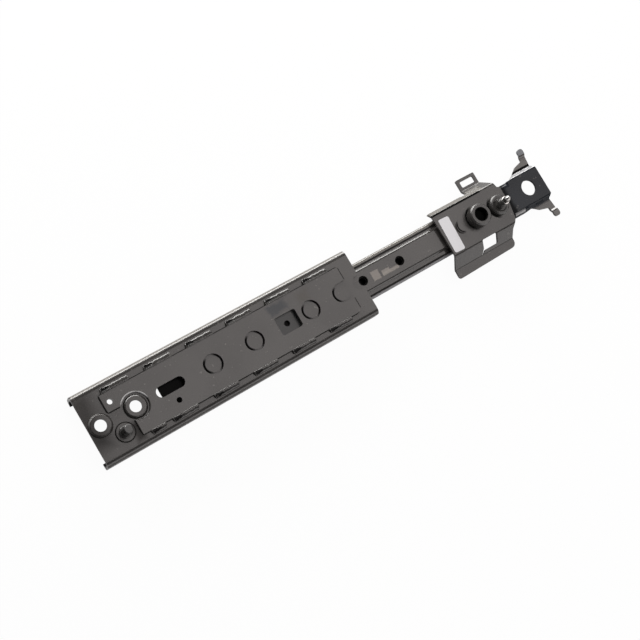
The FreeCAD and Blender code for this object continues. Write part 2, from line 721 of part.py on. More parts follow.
def weld_bead(name, start, length, edge, width):
    """A convex fillet bead in the corner between the web and the plate's edge, with a fat first pool."""
    height, lobe = size("weld_height"), size("weld_pool")
    sink = (width * width - height * height) / (height * 2)
    radius = height + sink
    first, last = start + width + lobe, start + length - width
    run = doc.addObject("Part::Cylinder", f"{name}_run")
    bind(run, "Radius", radius)
    bind(run, "Height", last - first)
    run.Placement.Rotation = FreeCAD.Rotation(Vector(0, 1, 0), 90)
    pool = doc.addObject("Part::Sphere", f"{name}_pool")
    bind(pool, "Radius", radius + lobe)
    end = doc.addObject("Part::Sphere", f"{name}_end")
    bind(end, "Radius", radius)
    for piece, x in ((run, first), (pool, first), (end, last)):
        stand_at(piece, x, edge, web_top - sink)
    metal = doc.addObject("Part::MultiFuse", f"{name}_metal")
    metal.Shapes = [run, pool, end]
    corner = doc.addObject("Part::Box", f"{name}_corner")
    bind(corner, "Length", length + width * 2)
    bind(corner, "Width", width * 2)
    bind(corner, "Height", height * 2)
    stand_at(corner, start - width, edge if edge.value > 0 else edge - width * 2, web_top)
    bead = doc.addObject("Part::Common", name)
    bead.Base = metal
    bead.Tool = corner
    return bead


def group(name, pieces):
    """Separate solids that share one node."""
    item = doc.addObject("Part::Compound", name)
    item.Label = name
    item.Links = pieces
    return item


def upper_welds():
    beads = []
    edge, width = size("plate_upper_edge"), size("upper_weld_width")
    for place in range(UPPER_BEADS):
        start = size("upper_weld_start") + size("upper_weld_pitch") * place
        beads.append(weld_bead(f"upper_bead_{place + 1}", start, size("upper_weld_length"), edge, width))
    return group("upper_welds", beads)


def lower_welds():
    edge, width = -size("plate_lower_edge"), size("lower_weld_width")
    beads = [weld_bead("short_bead", size("short_weld_start"), size("short_weld_length"), edge, width)]
    for place in range(LOWER_BEADS):
        start = size("lower_weld_start") + size("lower_weld_pitch") * place
        beads.append(weld_bead(f"lower_bead_{place + 1}", start, size("lower_weld_length"), edge, width))
    return group("lower_welds", beads)


# Pieces on the outer rail

def turned_body(name, corners):
    """A turned piece: half its outline, in the XZ plane, spun about Z."""
    body = new_body(name)
    sketch = new_sketch(body, f"{name}_outline", "XZ_Plane")
    add_outline(sketch, corners)
    feature = body.newObject("PartDesign::Revolution", f"{name}_turned")
    feature.Profile = sketch
    feature.ReferenceAxis = (sketch, ["V_Axis"])
    feature.Angle = 360
    return body


def locating_pin():
    """A pin with a collar on the pad and a tail riveted over behind it."""
    radius, collar, shank = size("pin_radius"), size("pin_collar_radius"), size("pin_shank_radius")
    tail, chamfer = size("pin_tail_radius"), size("pin_chamfer")
    top, collar_top, bevel = size("pin_height"), size("pin_collar_height"), size("pin_collar_chamfer")
    under = -size("rail_sheet")
    bottom = under - size("pin_tail_height")
    body = turned_body("locating_pin", [
        (0, bottom, None), (tail - chamfer, bottom, None), (tail, bottom + chamfer, None),
        (tail, under, None), (shank, under, None), (shank, 0, None), (collar, 0, None),
        (collar, collar_top - bevel, None), (collar - bevel, collar_top, None), (radius, collar_top, None),
        (radius, top - chamfer, None), (radius - chamfer, top, None), (0, top, None),
    ])
    stand_at(body, size("pad_x"), size("pad_y"), web_top + size("pad_height"))
    return body


def nut_plate():
    """The threaded plate welded behind the window."""
    body = new_body("nut_plate")
    half_length, half_width = size("nut_plate_length") / 2, size("nut_plate_width") / 2
    sketch = new_sketch(body, "nut_plate_outline", "XY_Plane")
    add_outline(sketch, rectangle(-half_length, half_length, -half_width, half_width, size("plate_round")))
    pad(body, sketch, "nut_plate_blank", size("nut_plate_sheet"))
    cut_holes(body, "nut_plate_thread", [(0, 0, size("nut_plate_hole"))])
    stand_at(body, size("window_x"), button_y, web_under - size("nut_plate_sheet"))
    return body


# Inner rail

def raise_inner_tabs(body):
    """Tabs pushed out of the walls at the hidden end, which carry the cages along."""
    half = size("inner_width") / 2
    reach = size("stop_tab_length")
    low, height = ball_level - size("ball_radius") / 2, size("ball_radius")
    for name, side in (("upper_stop", 1), ("lower_stop", -1)):
        sketch = new_sketch(body, f"{name}_sketch", "XY_Plane", low)
        near, far = (half - size("inner_sheet") / 2) * side, (half + reach) * side
        bottom, top = (near, far) if side > 0 else (far, near)
        add_outline(sketch, rectangle(size("inner_left"), size("inner_left") + reach, bottom, top))
        pad(body, sketch, name, height)


def inner_rail():
    body = new_body("inner_rail")
    half, face = size("inner_width") / 2, size("inner_face_width") / 2
    step, bend, foot_bend = size("inner_step"), size("inner_bend"), size("ledge_bend")
    bottom, ledge = inner_top - size("inner_depth"), inner_top - step
    section = [
        (half, bottom, None), (half, ledge, bend), (face + step, ledge, foot_bend),
        (face, inner_top, bend), (-face, inner_top, bend), (-face - step, ledge, foot_bend),
        (-half, ledge, bend), (-half, bottom, None),
    ]
    section_pad(body, "channel", size("inner_left"), size("inner_length"), section, size("inner_sheet"))
    sketch = new_sketch(body, "race_section", "YZ_Plane", size("inner_left"))
    for side in (1, -1):
        add_circle(sketch, ball_offset * side, ball_level, race_radius * 2)
    cut(body, sketch, "races", size("inner_length") * 2 + CUT_REACH)
    cut_holes(body, "holes", [
        (size("inner_hole_one_x"), 0, size("inner_hole")), (size("inner_hole_two_x"), 0, size("inner_hole")),
        (size("screw_x"), 0, screw_hole), (size("stud_x"), 0, stud_hole),
    ])
    raise_inner_tabs(body)
    return body


def hex_nut(name, flats, height, bore, depth=CUT_REACH):
    """A plain hexagon nut standing on the XY plane, bored from its top."""
    body = new_body(name)
    sketch = new_sketch(body, f"{name}_hexagon", "XY_Plane")
    add_outline(sketch, hexagon(flats))
    pad(body, sketch, f"{name}_blank", height)
    thread = new_sketch(body, f"{name}_bore_sketch", "XY_Plane", height)
    add_circle(thread, 0, 0, bore)
    cut(body, thread, f"{name}_bore", sized(depth) * 2)
    return body


def washer(name, inner_radius, outer_radius):
    body = new_body(name)
    sketch = new_sketch(body, f"{name}_ring", "XY_Plane")
    add_circle(sketch, 0, 0, outer_radius * 2)
    add_circle(sketch, 0, 0, inner_radius * 2)
    pad(body, sketch, f"{name}_blank", size("washer_thickness"))
    return body


def inner_rail_nuts():
    """Two nuts, closed below, welded behind the inner rail's holes."""
    nuts = []
    flats, height = size("weld_nut_flats"), size("weld_nut_height")
    for name, x in (("first_nut", "inner_hole_one_x"), ("second_nut", "inner_hole_two_x")):
        nut = hex_nut(name, flats, height, size("weld_nut_hole"), size("weld_nut_depth"))
        stand_at(nut, size(x), 0, inner_under - height)
        nuts.append(nut)
    return group("inner_rail_nuts", nuts)


# Ball cages

def ball_cage(name, side):
    """A strip between the two walls, with a round window for each ball."""
    body = new_body(name)
    run = size("ball_pitch") * (size("balls_per_side") - 1)
    left, right = size("cage_left"), size("cage_left") + run + size("cage_margin") * 2
    half = size("cage_height") / 2
    plane = ball_offset * -side
    sketch = new_sketch(body, f"{name}_strip", "XZ_Plane", plane - size("cage_sheet") / 2)
    add_outline(sketch, rectangle(left, right, ball_level - half, ball_level + half, size("cage_round")))
    pad(body, sketch, f"{name}_blank", size("cage_sheet"))
    window = new_sketch(body, f"{name}_window", "XZ_Plane", plane)
    diameter = (size("ball_radius") + size("cage_ball_gap")) * 2
    add_circle(window, left + size("cage_margin"), ball_level, diameter)
    first = cut(body, window, f"{name}_first_window", size("cage_sheet") * 3)
    doc.recompute()
    pattern = body.newObject("PartDesign::LinearPattern", f"{name}_windows")
    pattern.Originals = [first]
    pattern.Direction = (window, ["H_Axis"])
    bind(pattern, "Length", run)
    bind(pattern, "Occurrences", size("balls_per_side"))
    body.Tip = pattern
    return body


def balls(name, side):
    pieces = []
    for place in range(int(size("balls_per_side").value)):
        ball = doc.addObject("Part::Sphere", f"{name}_{place + 1}")
        bind(ball, "Radius", size("ball_radius"))
        x = size("cage_left") + size("cage_margin") + size("ball_pitch") * place
        stand_at(ball, x, ball_offset * side, ball_level)
        pieces.append(ball)
    return group(name, pieces)


# End bracket

def end_bracket():
    """One folded sheet: face, upper flange with its ear, lower wing and lip."""
    body = new_body("end_bracket")
    upper, lower = size("bracket_upper_fold"), -size("bracket_lower_fold")
    ear_z, wing_z = bracket_top - size("ear_level"), bracket_top - size("wing_level")
    wing_fold, wing_end = -size("wing_fold"), -size("lip_left_reach") - TRIM_SPARE
    ear_root, ear_end = size("ear_root"), size("ear_end")
    section = [
        (ear_end + TRIM_SPARE, ear_z, None), (ear_root, ear_z, size("bracket_ear_bend")),
        (upper, bracket_top, size("bracket_upper_bend")), (lower, bracket_top, size("bracket_lower_bend")),
        (wing_fold, wing_z, size("bracket_second_bend")), (wing_end, wing_z, None),
    ]
    run_left, run_right = size("lip_left") - TRIM_SPARE, size("nose_x") + TRIM_SPARE
    section_pad(body, "sheet", run_left, run_right - run_left, section, size("bracket_sheet"))
    trim_to_outline(body, "blank_outline", bracket_outline())
    cut_holes(body, "fastener_holes", [(size("screw_x"), 0, screw_hole), (size("stud_x"), 0, stud_hole)])
    cut_outline(body, "wing_window", wing_window_corners())
    cut_outline(body, "ear_window", rectangle(
        size("ear_window_left"), size("ear_window_right"),
        size("ear_window_near"), size("ear_window_far"), tight))
    edge = size("flange_edge")
    cut_outline(body, "ear_relief", rectangle(
        size("relief_left"), size("relief_right"), edge - size("relief_width"), edge))
    half_moon(body)
    return body


def bracket_outline():
    """The bracket from above, clockwise from the left end of its upper flange."""
    edge, wing_fold = size("flange_edge"), -size("wing_fold")
    ear_left, ear_right, ear_end = size("ear_left"), size("ear_right"), size("ear_end")
    wing_right, heel = size("wing_right"), size("heel_x")
    return [
        (size("face_left"), edge, tight), (ear_left, edge, None), (ear_left, ear_end, tight),
        (ear_right, ear_end, tight), (ear_right, size("ear_root"), tight),
        (size("shoulder_x"), size("shoulder_y"), middle), (heel, size("shoulder_foot_y"), tight),
        (size("nose_x"), size("nose_top_y"), tight), (size("nose_x"), size("nose_foot_y"), soft),
        (heel, size("heel_y"), soft), (size("wing_root_x"), size("wing_root_y"), soft),
        (wing_right, wing_fold, middle), (wing_right, -size("lip_right_reach"), soft),
        (size("lip_left"), -size("lip_left_reach"), middle), (size("wing_left"), wing_fold, middle),
        (size("fold_left"), -size("bracket_lower_fold"), soft),
    ]


def wing_window_corners():
    """The window in the wing, with the slit that leaves its lower left corner."""
    left, near, end = size("wing_window_left"), -size("wing_window_near"), -size("wing_window_end")
    slit, slit_end, width = size("slit_x"), -size("slit_end"), size("slit_width")
    return [
        (left, near, tight), (size("wing_window_right"), near, tight),
        (size("wing_window_foot"), end, tight), (left + width, end, None), (slit + width, slit_end, None),
        (slit, slit_end, None), (left, end + width, None),
    ]


def half_moon(body):
    """A half-moon lanced out of the face, open towards the rail."""
    radius, height = size("moon_radius"), size("moon_height")
    x, y = size("moon_x"), size("moon_y")
    for kind, name, shrink, z in (
            ("AdditiveCylinder", "moon_outside", 0.0, bracket_top),
            ("SubtractiveCylinder", "moon_inside", size("moon_wall"), bracket_top - size("bracket_sheet"))):
        piece = place_primitive(body, kind, name, x, y, z, Radius=radius - shrink, Height=height)
        piece.Angle = 180
        offset = piece.AttachmentOffset
        offset.Rotation = FreeCAD.Rotation(Vector(0, 0, 1), 90)
        piece.AttachmentOffset = offset


def bracket_label():
    body = new_body("bracket_label")
    sketch = new_sketch(body, "label_outline", "XY_Plane")
    half_width, half_length = size("label_width") / 2, size("label_length") / 2
    add_outline(sketch, rectangle(-half_width, half_width, -half_length, half_length, size("label_round")))
    pad(body, sketch, "label_sheet", size("label_thickness"))
    body.Placement.Rotation = FreeCAD.Rotation(Vector(0, 0, 1), size("label_turn").value)
    stand_at(body, size("label_left") + half_width, size("label_y"), bracket_top)
    return body


# Fasteners of the end bracket

def twelve_point_socket(body, top):
    """Two hexagons turned by thirty degrees, sunk into the head, with a cone under them."""
    depth, point = size("socket_depth"), size("socket_point")
    for name, turn in (("socket_flats", 0), ("socket_points", 30)):
        sketch = new_sketch(body, f"{name}_sketch", "XY_Plane", top)
        add_outline(sketch, hexagon(size("socket_flats"), turn))
        cut(body, sketch, name, depth * 2)
    place_primitive(body, "SubtractiveCone", "socket_cone", 0, 0, top - depth - point,
                    Radius1=0, Radius2=size("socket_point_radius"), Height=point)


def socket_screw():
    head, height, bevel = size("screw_head_radius"), size("screw_head_height"), size("screw_head_chamfer")
    body = turned_body("socket_screw", shank_corners("screw") + [
        (head, 0, None), (head, height - bevel, None), (head - bevel, height, None), (0, height, None),
    ])
    twelve_point_socket(body, height)
    stand_at(body, size("screw_x"), 0, bracket_top)
    return body


def shank_corners(name):
    """Half the outline of a chamfered shank that hangs below the XY plane."""
    shank, bevel, bottom = size(f"{name}_shank_radius"), size("shank_chamfer"), -size(f"{name}_shank_length")
    return [
        (0, bottom, None), (shank - bevel, bottom, None), (shank, bottom + bevel, None), (shank, 0, None)]


def flange_stud():
    """A flange with a shank below it; above it a hexagon, a thread and a smooth tip."""
    flange, low, bevel = size("stud_flange_radius"), size("stud_flange_height"), size("stud_flange_chamfer")
    thread, tip, point = size("stud_thread_radius"), size("stud_tip_radius"), size("stud_tip_chamfer")
    thread_top = low + size("stud_hex_height") + size("stud_thread_length")
    top = thread_top + size("stud_tip_length")
    body = turned_body("flange_stud", shank_corners("stud") + [
        (flange, 0, None), (flange, low - bevel, None), (flange - bevel, low, None), (thread, low, None),
        (thread, thread_top, None), (tip, thread_top, None), (tip, top - point, None),
        (tip - point, top, None), (0, top, None),
    ])
    sketch = new_sketch(body, "stud_hexagon", "XY_Plane", low - size("race_gap"))
    add_outline(sketch, hexagon(size("stud_hex_flats")))
    pad(body, sketch, "stud_hex", size("stud_hex_height"))
    stand_at(body, size("stud_x"), 0, bracket_top)
    return body


def fastener_backs():
    """The washers and nuts behind the inner rail."""
    pieces = []
    for name, place in (("screw", "screw_x"), ("stud", "stud_x")):
        shank = size(f"{name}_shank_radius")
        node = "socket_screw" if name == "screw" else "stud"
        gap = size("race_gap")
        ring = washer(f"{node}_washer", shank + gap, shank + size("washer_rim"))
        stand_at(ring, size(place), 0, inner_under - size("washer_thickness"))
        height = size(f"{name}_nut_height")
        nut = hex_nut(f"{node}_nut", size(f"{name}_nut_flats"), height, (shank + gap) * 2)
        stand_at(nut, size(place), 0, inner_under - size("washer_thickness") - height)
        pieces += [ring, nut]
    return pieces


# Yoke

def yoke_outline():
    """The yoke from above: tongue, neck, two ears with a finger each."""
    tongue, shift, foot = size("yoke_tongue_width") / 2, size("yoke_shift"), size("yoke_foot_width") / 2
    left, neck_left, right = size("yoke_left"), size("yoke_neck_left"), size("yoke_right")
    finger_right = right - size("finger_inset")
    finger_left = finger_right - size("finger_width")
    hip, ear, heel = size("yoke_hip_x"), size("yoke_ear_x"), size("yoke_heel")

    def side(sign, neck):
        """One side, from the tongue to the yoke's end; sign 1 is the upper side."""
        return [
            (neck_left, tongue * sign, None), (neck_left, neck * sign, None),
            (size("yoke_neck_end"), neck * sign, middle), (hip, shift + foot * sign, middle),
            (ear, shift + (foot + size("yoke_ear_lift")) * sign, middle),
            (finger_left, shift + (foot + size("yoke_ear_width")) * sign, tight),
            (finger_left, shift + size("finger_reach") * sign, middle),
            (finger_right, shift + size("finger_reach") * sign, middle),
            (right - heel, shift + foot * sign, tight),
            (right, shift + (foot - size("yoke_heel_inset")) * sign, tight),
        ]
    upper, lower = side(1, size("yoke_neck_upper")), side(-1, size("yoke_neck_lower"))
    return upper + lower[::-1] + [(left, -tongue, middle), (left, tongue, middle)]


def yoke():
    body = new_body("yoke")
    sheet_size = size("yoke_sheet")
    tongue = size("yoke_tongue_width") / 2
    upper, lower = size("yoke_neck_upper"), -size("yoke_neck_lower")
    under = yoke_top - sheet_size
    sketch = new_sketch(body, "tongue_sketch", "XY_Plane", under)
    add_outline(sketch, rectangle(size("yoke_left"), size("yoke_body_left"), -tongue, tongue))
    pad(body, sketch, "tongue", sheet_size)
    neck_low, bend = yoke_top - size("yoke_neck_depth"), size("yoke_neck_bend")
    neck_section = [
        (upper, neck_low, None), (upper, yoke_top, bend), (lower, yoke_top, bend), (lower, neck_low, None)]
    neck_length = size("yoke_neck_right") - size("yoke_neck_left")
    section_pad(body, "neck", size("yoke_neck_left"), neck_length, neck_section, sheet_size)
    shift, top = size("yoke_shift"), size("yoke_top_width") / 2
    foot, reach = size("yoke_foot_width") / 2, size("finger_reach") + TRIM_SPARE
    ear_z = yoke_top - size("yoke_drop")
    finger_z = ear_z + size("finger_rise")
    fold = foot + size("yoke_ear_bend")
    half = [
        (reach, finger_z, None), (fold + size("yoke_finger_bend"), finger_z, middle), (fold, ear_z, tight),
        (foot, ear_z, tight), (top, yoke_top, middle)]
    section = [(shift + y, z, radius) for y, z, radius in half]
    section += [(shift - y, z, radius) for y, z, radius in reversed(half)]
    body_length = size("yoke_right") + TRIM_SPARE - size("yoke_body_left")
    section_pad(body, "hat", size("yoke_body_left"), body_length, section, sheet_size)
    trim_to_outline(body, "blank_outline", yoke_outline())
    cut_holes(body, "holes", [
        (size("yoke_hole_x"), shift, size("yoke_hole")), (size("screw_x"), 0, screw_hole),
        (size("stud_x"), 0, stud_hole)])
    return body


def check_and_write(pieces):
    """Every feature has to be sound before any file is written."""
    doc.recompute()
    for item in doc.Objects:
        if "Invalid" in item.State or "Error" in item.State:
            raise RuntimeError(f"{item.Name} failed: {item.State}")
    for piece in pieces:
        shape = piece.Shape
        if shape.isNull() or not shape.isValid():
            raise RuntimeError(f"{piece.Label} has no sound shape")
    os.makedirs("parts", exist_ok=True)
    for piece in pieces:
        piece.Shape.exportStep(f"parts/{piece.Label}.step")
        box = piece.Shape.BoundBox
        print(piece.Label, len(piece.Shape.Solids), round(piece.Shape.Volume, 1),
              [round(v, 1) for v in (box.XMin, box.XMax, box.YMin, box.YMax, box.ZMin, box.ZMax)])


check_and_write([
    outer_rail(), mounting_plate(), upper_welds(), lower_welds(), locating_pin(), nut_plate(),
    inner_rail(), inner_rail_nuts(), ball_cage("upper_ball_cage", 1), ball_cage("lower_ball_cage", -1),
    balls("upper_balls", 1), balls("lower_balls", -1), end_bracket(), bracket_label(), socket_screw(),
    flange_stud(), yoke(), *fastener_backs(),
])
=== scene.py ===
from math import cos, pi, radians, sin, sqrt

import bmesh
import bpy
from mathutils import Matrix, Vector, noise


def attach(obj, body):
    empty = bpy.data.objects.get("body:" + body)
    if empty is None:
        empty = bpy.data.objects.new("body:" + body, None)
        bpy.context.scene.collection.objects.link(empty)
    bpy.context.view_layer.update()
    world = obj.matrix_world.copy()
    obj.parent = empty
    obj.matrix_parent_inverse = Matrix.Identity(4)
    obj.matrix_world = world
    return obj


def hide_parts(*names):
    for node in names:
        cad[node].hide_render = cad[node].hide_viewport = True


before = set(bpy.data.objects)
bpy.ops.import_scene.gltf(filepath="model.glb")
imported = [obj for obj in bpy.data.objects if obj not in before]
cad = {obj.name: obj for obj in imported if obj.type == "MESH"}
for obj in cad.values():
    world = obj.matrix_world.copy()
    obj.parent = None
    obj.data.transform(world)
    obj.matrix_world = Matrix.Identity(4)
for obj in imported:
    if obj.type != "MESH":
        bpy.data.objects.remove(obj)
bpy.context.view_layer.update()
MM = 0.001


# The studio: a white table under a long overhead softbox that starts beyond the bolted end, with a low
# softbox on each side of the rail. The table is white to the camera, keeps a soft shadow, glows less in
# reflections on the rail's lower side and is clear from below.
TABLE_SIZE = 4.0
TABLE_X = 0.2
FLOOR_Z = -0.0252
TABLE_GLOW_TO_CAMERA = 0.96
TABLE_GLOW_LOWER_SIDE, TABLE_GLOW_UPPER_SIDE = 0.10, 1.0
LOWER_SIDE_Y, UPPER_SIDE_Y = -0.02, 0.08
SKY_COLOUR = (0.95, 0.98, 1.0, 1)
SKY_STRENGTH = 0.15
LENS_MM, SENSOR_MM = 56.79, 36.0
CAMERA_PLACE = (-0.13785, -0.06556, 0.84462)
CAMERA_TURN_DEGREES = (14.211, -16.91, -32.112)

floor_mesh = bmesh.new()
bmesh.ops.create_grid(floor_mesh, x_segments=1, y_segments=1, size=TABLE_SIZE)
bmesh.ops.translate(floor_mesh, verts=floor_mesh.verts, vec=(TABLE_X, 0.0, FLOOR_Z))
floor_data = bpy.data.meshes.new("studio_table")
floor_mesh.to_mesh(floor_data)
floor_mesh.free()
table = bpy.data.objects.new("studio_table", floor_data)
bpy.context.collection.objects.link(table)

table_material = bpy.data.materials.new("white table")
table_material.use_nodes = True
nodes, links = table_material.node_tree.nodes, table_material.node_tree.links
paper = nodes["Principled BSDF"]
paper.inputs["Base Color"].default_value = (0.86, 0.86, 0.86, 1)
paper.inputs["Roughness"].default_value = 0.8
glow = nodes.new("ShaderNodeEmission")
glow.inputs["Color"].default_value = (1, 1, 1, 1)
rays = nodes.new("ShaderNodeLightPath")
reflected = nodes.new("ShaderNodeMath")
reflected.operation = "MAXIMUM"
links.new(rays.outputs["Is Glossy Ray"], reflected.inputs[0])
links.new(rays.outputs["Is Transmission Ray"], reflected.inputs[1])
table_place = nodes.new("ShaderNodeTexCoord")
table_axes = nodes.new("ShaderNodeSeparateXYZ")
links.new(table_place.outputs["Object"], table_axes.inputs[0])
lit_side = nodes.new("ShaderNodeMapRange")
lit_side.inputs["From Min"].default_value = LOWER_SIDE_Y
lit_side.inputs["From Max"].default_value = UPPER_SIDE_Y
lit_side.inputs["To Min"].default_value = TABLE_GLOW_LOWER_SIDE
lit_side.inputs["To Max"].default_value = TABLE_GLOW_UPPER_SIDE
links.new(table_axes.outputs["Y"], lit_side.inputs["Value"])
in_reflections = nodes.new("ShaderNodeMath")
in_reflections.operation = "MULTIPLY"
links.new(lit_side.outputs["Result"], in_reflections.inputs[1])
links.new(reflected.outputs[0], in_reflections.inputs[0])
to_camera = nodes.new("ShaderNodeMath")
to_camera.operation = "MULTIPLY"
to_camera.inputs[1].default_value = TABLE_GLOW_TO_CAMERA
links.new(rays.outputs["Is Camera Ray"], to_camera.inputs[0])
share = nodes.new("ShaderNodeMath")
share.operation = "MAXIMUM"
links.new(in_reflections.outputs[0], share.inputs[0])
links.new(to_camera.outputs[0], share.inputs[1])
blend = nodes.new("ShaderNodeMixShader")
links.new(share.outputs[0], blend.inputs[0])
links.new(paper.outputs[0], blend.inputs[1])
links.new(glow.outputs[0], blend.inputs[2])
side_seen = nodes.new("ShaderNodeNewGeometry")
clear = nodes.new("ShaderNodeBsdfTransparent")
from_above = nodes.new("ShaderNodeMixShader")
links.new(side_seen.outputs["Backfacing"], from_above.inputs[0])
links.new(blend.outputs[0], from_above.inputs[1])
links.new(clear.outputs[0], from_above.inputs[2])
links.new(from_above.outputs[0], nodes["Material Output"].inputs["Surface"])
floor_data.materials.append(table_material)

world = bpy.data.worlds.new("studio")
bpy.context.scene.world = world
world.use_nodes = True
nodes, links = world.node_tree.nodes, world.node_tree.links
nodes["Background"].inputs["Color"].default_value = SKY_COLOUR
nodes["Background"].inputs["Strength"].default_value = SKY_STRENGTH
backdrop = nodes.new("ShaderNodeBackground")
backdrop.inputs["Color"].default_value = (1, 1, 1, 1)
backdrop.inputs["Strength"].default_value = TABLE_GLOW_TO_CAMERA
camera_rays = nodes.new("ShaderNodeLightPath")
sky = nodes.new("ShaderNodeMixShader")
links.new(camera_rays.outputs["Is Camera Ray"], sky.inputs[0])
links.new(nodes["Background"].outputs[0], sky.inputs[1])
links.new(backdrop.outputs[0], sky.inputs[2])
links.new(sky.outputs[0], nodes["World Output"].inputs["Surface"])


def softbox(name, place, aim, width, height, radiance, colour):
    """A rectangular lamp of even radiance, turned to face a point."""
    lamp = bpy.data.lights.new(name, "AREA")
    lamp.shape = "RECTANGLE"
    lamp.size = width
    lamp.size_y = height
    lamp.energy = radiance * pi * width * height
    lamp.color = colour
    lamp_object = bpy.data.objects.new(name, lamp)
    lamp_object.location = place
    direction = Vector(aim) - Vector(place)
    lamp_object.rotation_euler = direction.to_track_quat("-Z", "Y").to_euler()
    bpy.context.collection.objects.link(lamp_object)


softbox("overhead softbox", place=(1.30, -0.07, 1.60), aim=(1.30, -0.07, 0.0), width=2.36, height=1.3,
        radiance=2.15, colour=(1.0, 0.945, 0.925))
softbox("upper side softbox", place=(0.65, 1.30, 0.26), aim=(0.65, 0.0, 0.26), width=2.4, height=0.50,
        radiance=14.0, colour=(1.0, 0.985, 0.96))
softbox("lower side softbox", place=(0.65, -1.30, 0.30), aim=(0.65, 0.0, 0.30), width=2.4, height=0.56,
        radiance=2.2, colour=(1.0, 0.97, 0.96))

camera_data = bpy.data.cameras.new("camera")
camera_data.lens = LENS_MM
camera_data.sensor_width = SENSOR_MM
camera_data.clip_end = 20.0
camera = bpy.data.objects.new("camera", camera_data)
camera.location = CAMERA_PLACE
camera.rotation_euler = [radians(angle) for angle in CAMERA_TURN_DEGREES]
bpy.context.collection.objects.link(camera)
bpy.context.scene.camera = camera
bpy.context.scene.view_settings.view_transform = "Standard"


# The outer rail: 3 mm sheet folded to a channel, with two drawn bolt bosses, a round pad and four pressed
# buttons. It is dipped in a thin glossy black coat, uneven in tone where it drained. Painted shade darkens
# its left end and the web beside the pad, a painted highlight runs along its upper bend, painted glints sit
# on the bosses' upper rims and painted shade lies round the pad and the buttons. Marks are placed in millimetres.
CLOUD_SCALE, PEEL_SCALE, SPECK_SCALE = 22.0, 700.0, 260.0
CLOUDS_FROM, CLOUDS_TO = 0.38, 0.62
SPECKS_FROM, SPECKS_TO, SPECK_STRENGTH = 0.70, 0.78, 0.35
SPECK_TONE = (0.16, 0.15, 0.14, 1)
PEEL_DEPTH = 0.000003
ARC_EDGE = 0.3
RAIL_TONE = (0.028, 0.0258, 0.0245)
RAIL_CLOUDS = (0.038, 0.0354, 0.0337)
# Near-black for painted shade: shaded edges, walls and hollows, and the crater's dark reflection.
PAINTED_SHADE = (0.005, 0.005, 0.005)
# Pale grey for painted glints.
PAINTED_GLINT = (0.60, 0.60, 0.60)
# The painted highlight along the rail's upper bend.
RAIL_BEND_HIGHLIGHT = (0.15, 0.14, 0.128)
FIRST_BOSS, SECOND_BOSS, PAD = (-16.5, 0), (16.5, 0), (-1.2, -14.8)
BUTTONS = [(button_x, -0.5) for button_x in (92.5, 135.5, 196.3, 230.8)]


def new_group(name, inputs, outputs):
    """An empty shader node group with its sockets, its input node and its output node."""
    group = bpy.data.node_groups.new(name, "ShaderNodeTree")
    for direction, sockets in (("INPUT", inputs), ("OUTPUT", outputs)):
        for socket, kind in sockets:
            group.interface.new_socket(name=socket, in_out=direction, socket_type="NodeSocket" + kind)
    return group, group.nodes.new("NodeGroupInput"), group.nodes.new("NodeGroupOutput")


def coat_group():
    """Tone, roughness and height of a dipped coat, from broad drain clouds down to a fine orange peel."""
    group, start, end = new_group(
        "dipped coat", (("Tone", "Color"), ("Cloud Tone", "Color"), ("Gloss", "Float"), ("Gloss Spread", "Float")),
        (("Color", "Color"), ("Roughness", "Float"), ("Height", "Float")))
    nodes, links = group.nodes, group.links
    place = nodes.new("ShaderNodeTexCoord")
    clouds = nodes.new("ShaderNodeTexNoise")
    clouds.inputs["Scale"].default_value = CLOUD_SCALE
    clouds.inputs["Detail"].default_value = 4.0
    peel = nodes.new("ShaderNodeTexNoise")
    peel.inputs["Scale"].default_value = PEEL_SCALE
    peel.inputs["Detail"].default_value = 2.0
    specks = nodes.new("ShaderNodeTexNoise")
    specks.inputs["Scale"].default_value = SPECK_SCALE
    specks.inputs["Detail"].default_value = 1.0
    for texture in (clouds, peel, specks):
        links.new(place.outputs["Object"], texture.inputs["Vector"])
    spread = nodes.new("ShaderNodeMapRange")
    spread.inputs["From Min"].default_value = CLOUDS_FROM
    spread.inputs["From Max"].default_value = CLOUDS_TO
    links.new(clouds.outputs["Fac"], spread.inputs["Value"])
    tone = nodes.new("ShaderNodeMix")
    tone.data_type = "RGBA"
    links.new(spread.outputs["Result"], tone.inputs["Factor"])
    links.new(start.outputs["Tone"], tone.inputs["A"])
    links.new(start.outputs["Cloud Tone"], tone.inputs["B"])
    dust = nodes.new("ShaderNodeMapRange")
    dust.inputs["From Min"].default_value = SPECKS_FROM
    dust.inputs["From Max"].default_value = SPECKS_TO
    dust.inputs["To Max"].default_value = SPECK_STRENGTH
    links.new(specks.outputs["Fac"], dust.inputs["Value"])
    dusted = nodes.new("ShaderNodeMix")
    dusted.data_type = "RGBA"
    dusted.inputs["B"].default_value = SPECK_TONE
    links.new(dust.outputs["Result"], dusted.inputs["Factor"])
    links.new(tone.outputs["Result"], dusted.inputs["A"])
    links.new(dusted.outputs["Result"], end.inputs["Color"])
    haze = nodes.new("ShaderNodeMath")
    haze.operation = "MULTIPLY_ADD"
    links.new(clouds.outputs["Fac"], haze.inputs[0])
    links.new(start.outputs["Gloss Spread"], haze.inputs[1])
    links.new(start.outputs["Gloss"], haze.inputs[2])
    links.new(haze.outputs[0], end.inputs["Roughness"])
    links.new(peel.outputs["Fac"], end.inputs["Height"])
    return group


dipped_coat = coat_group()


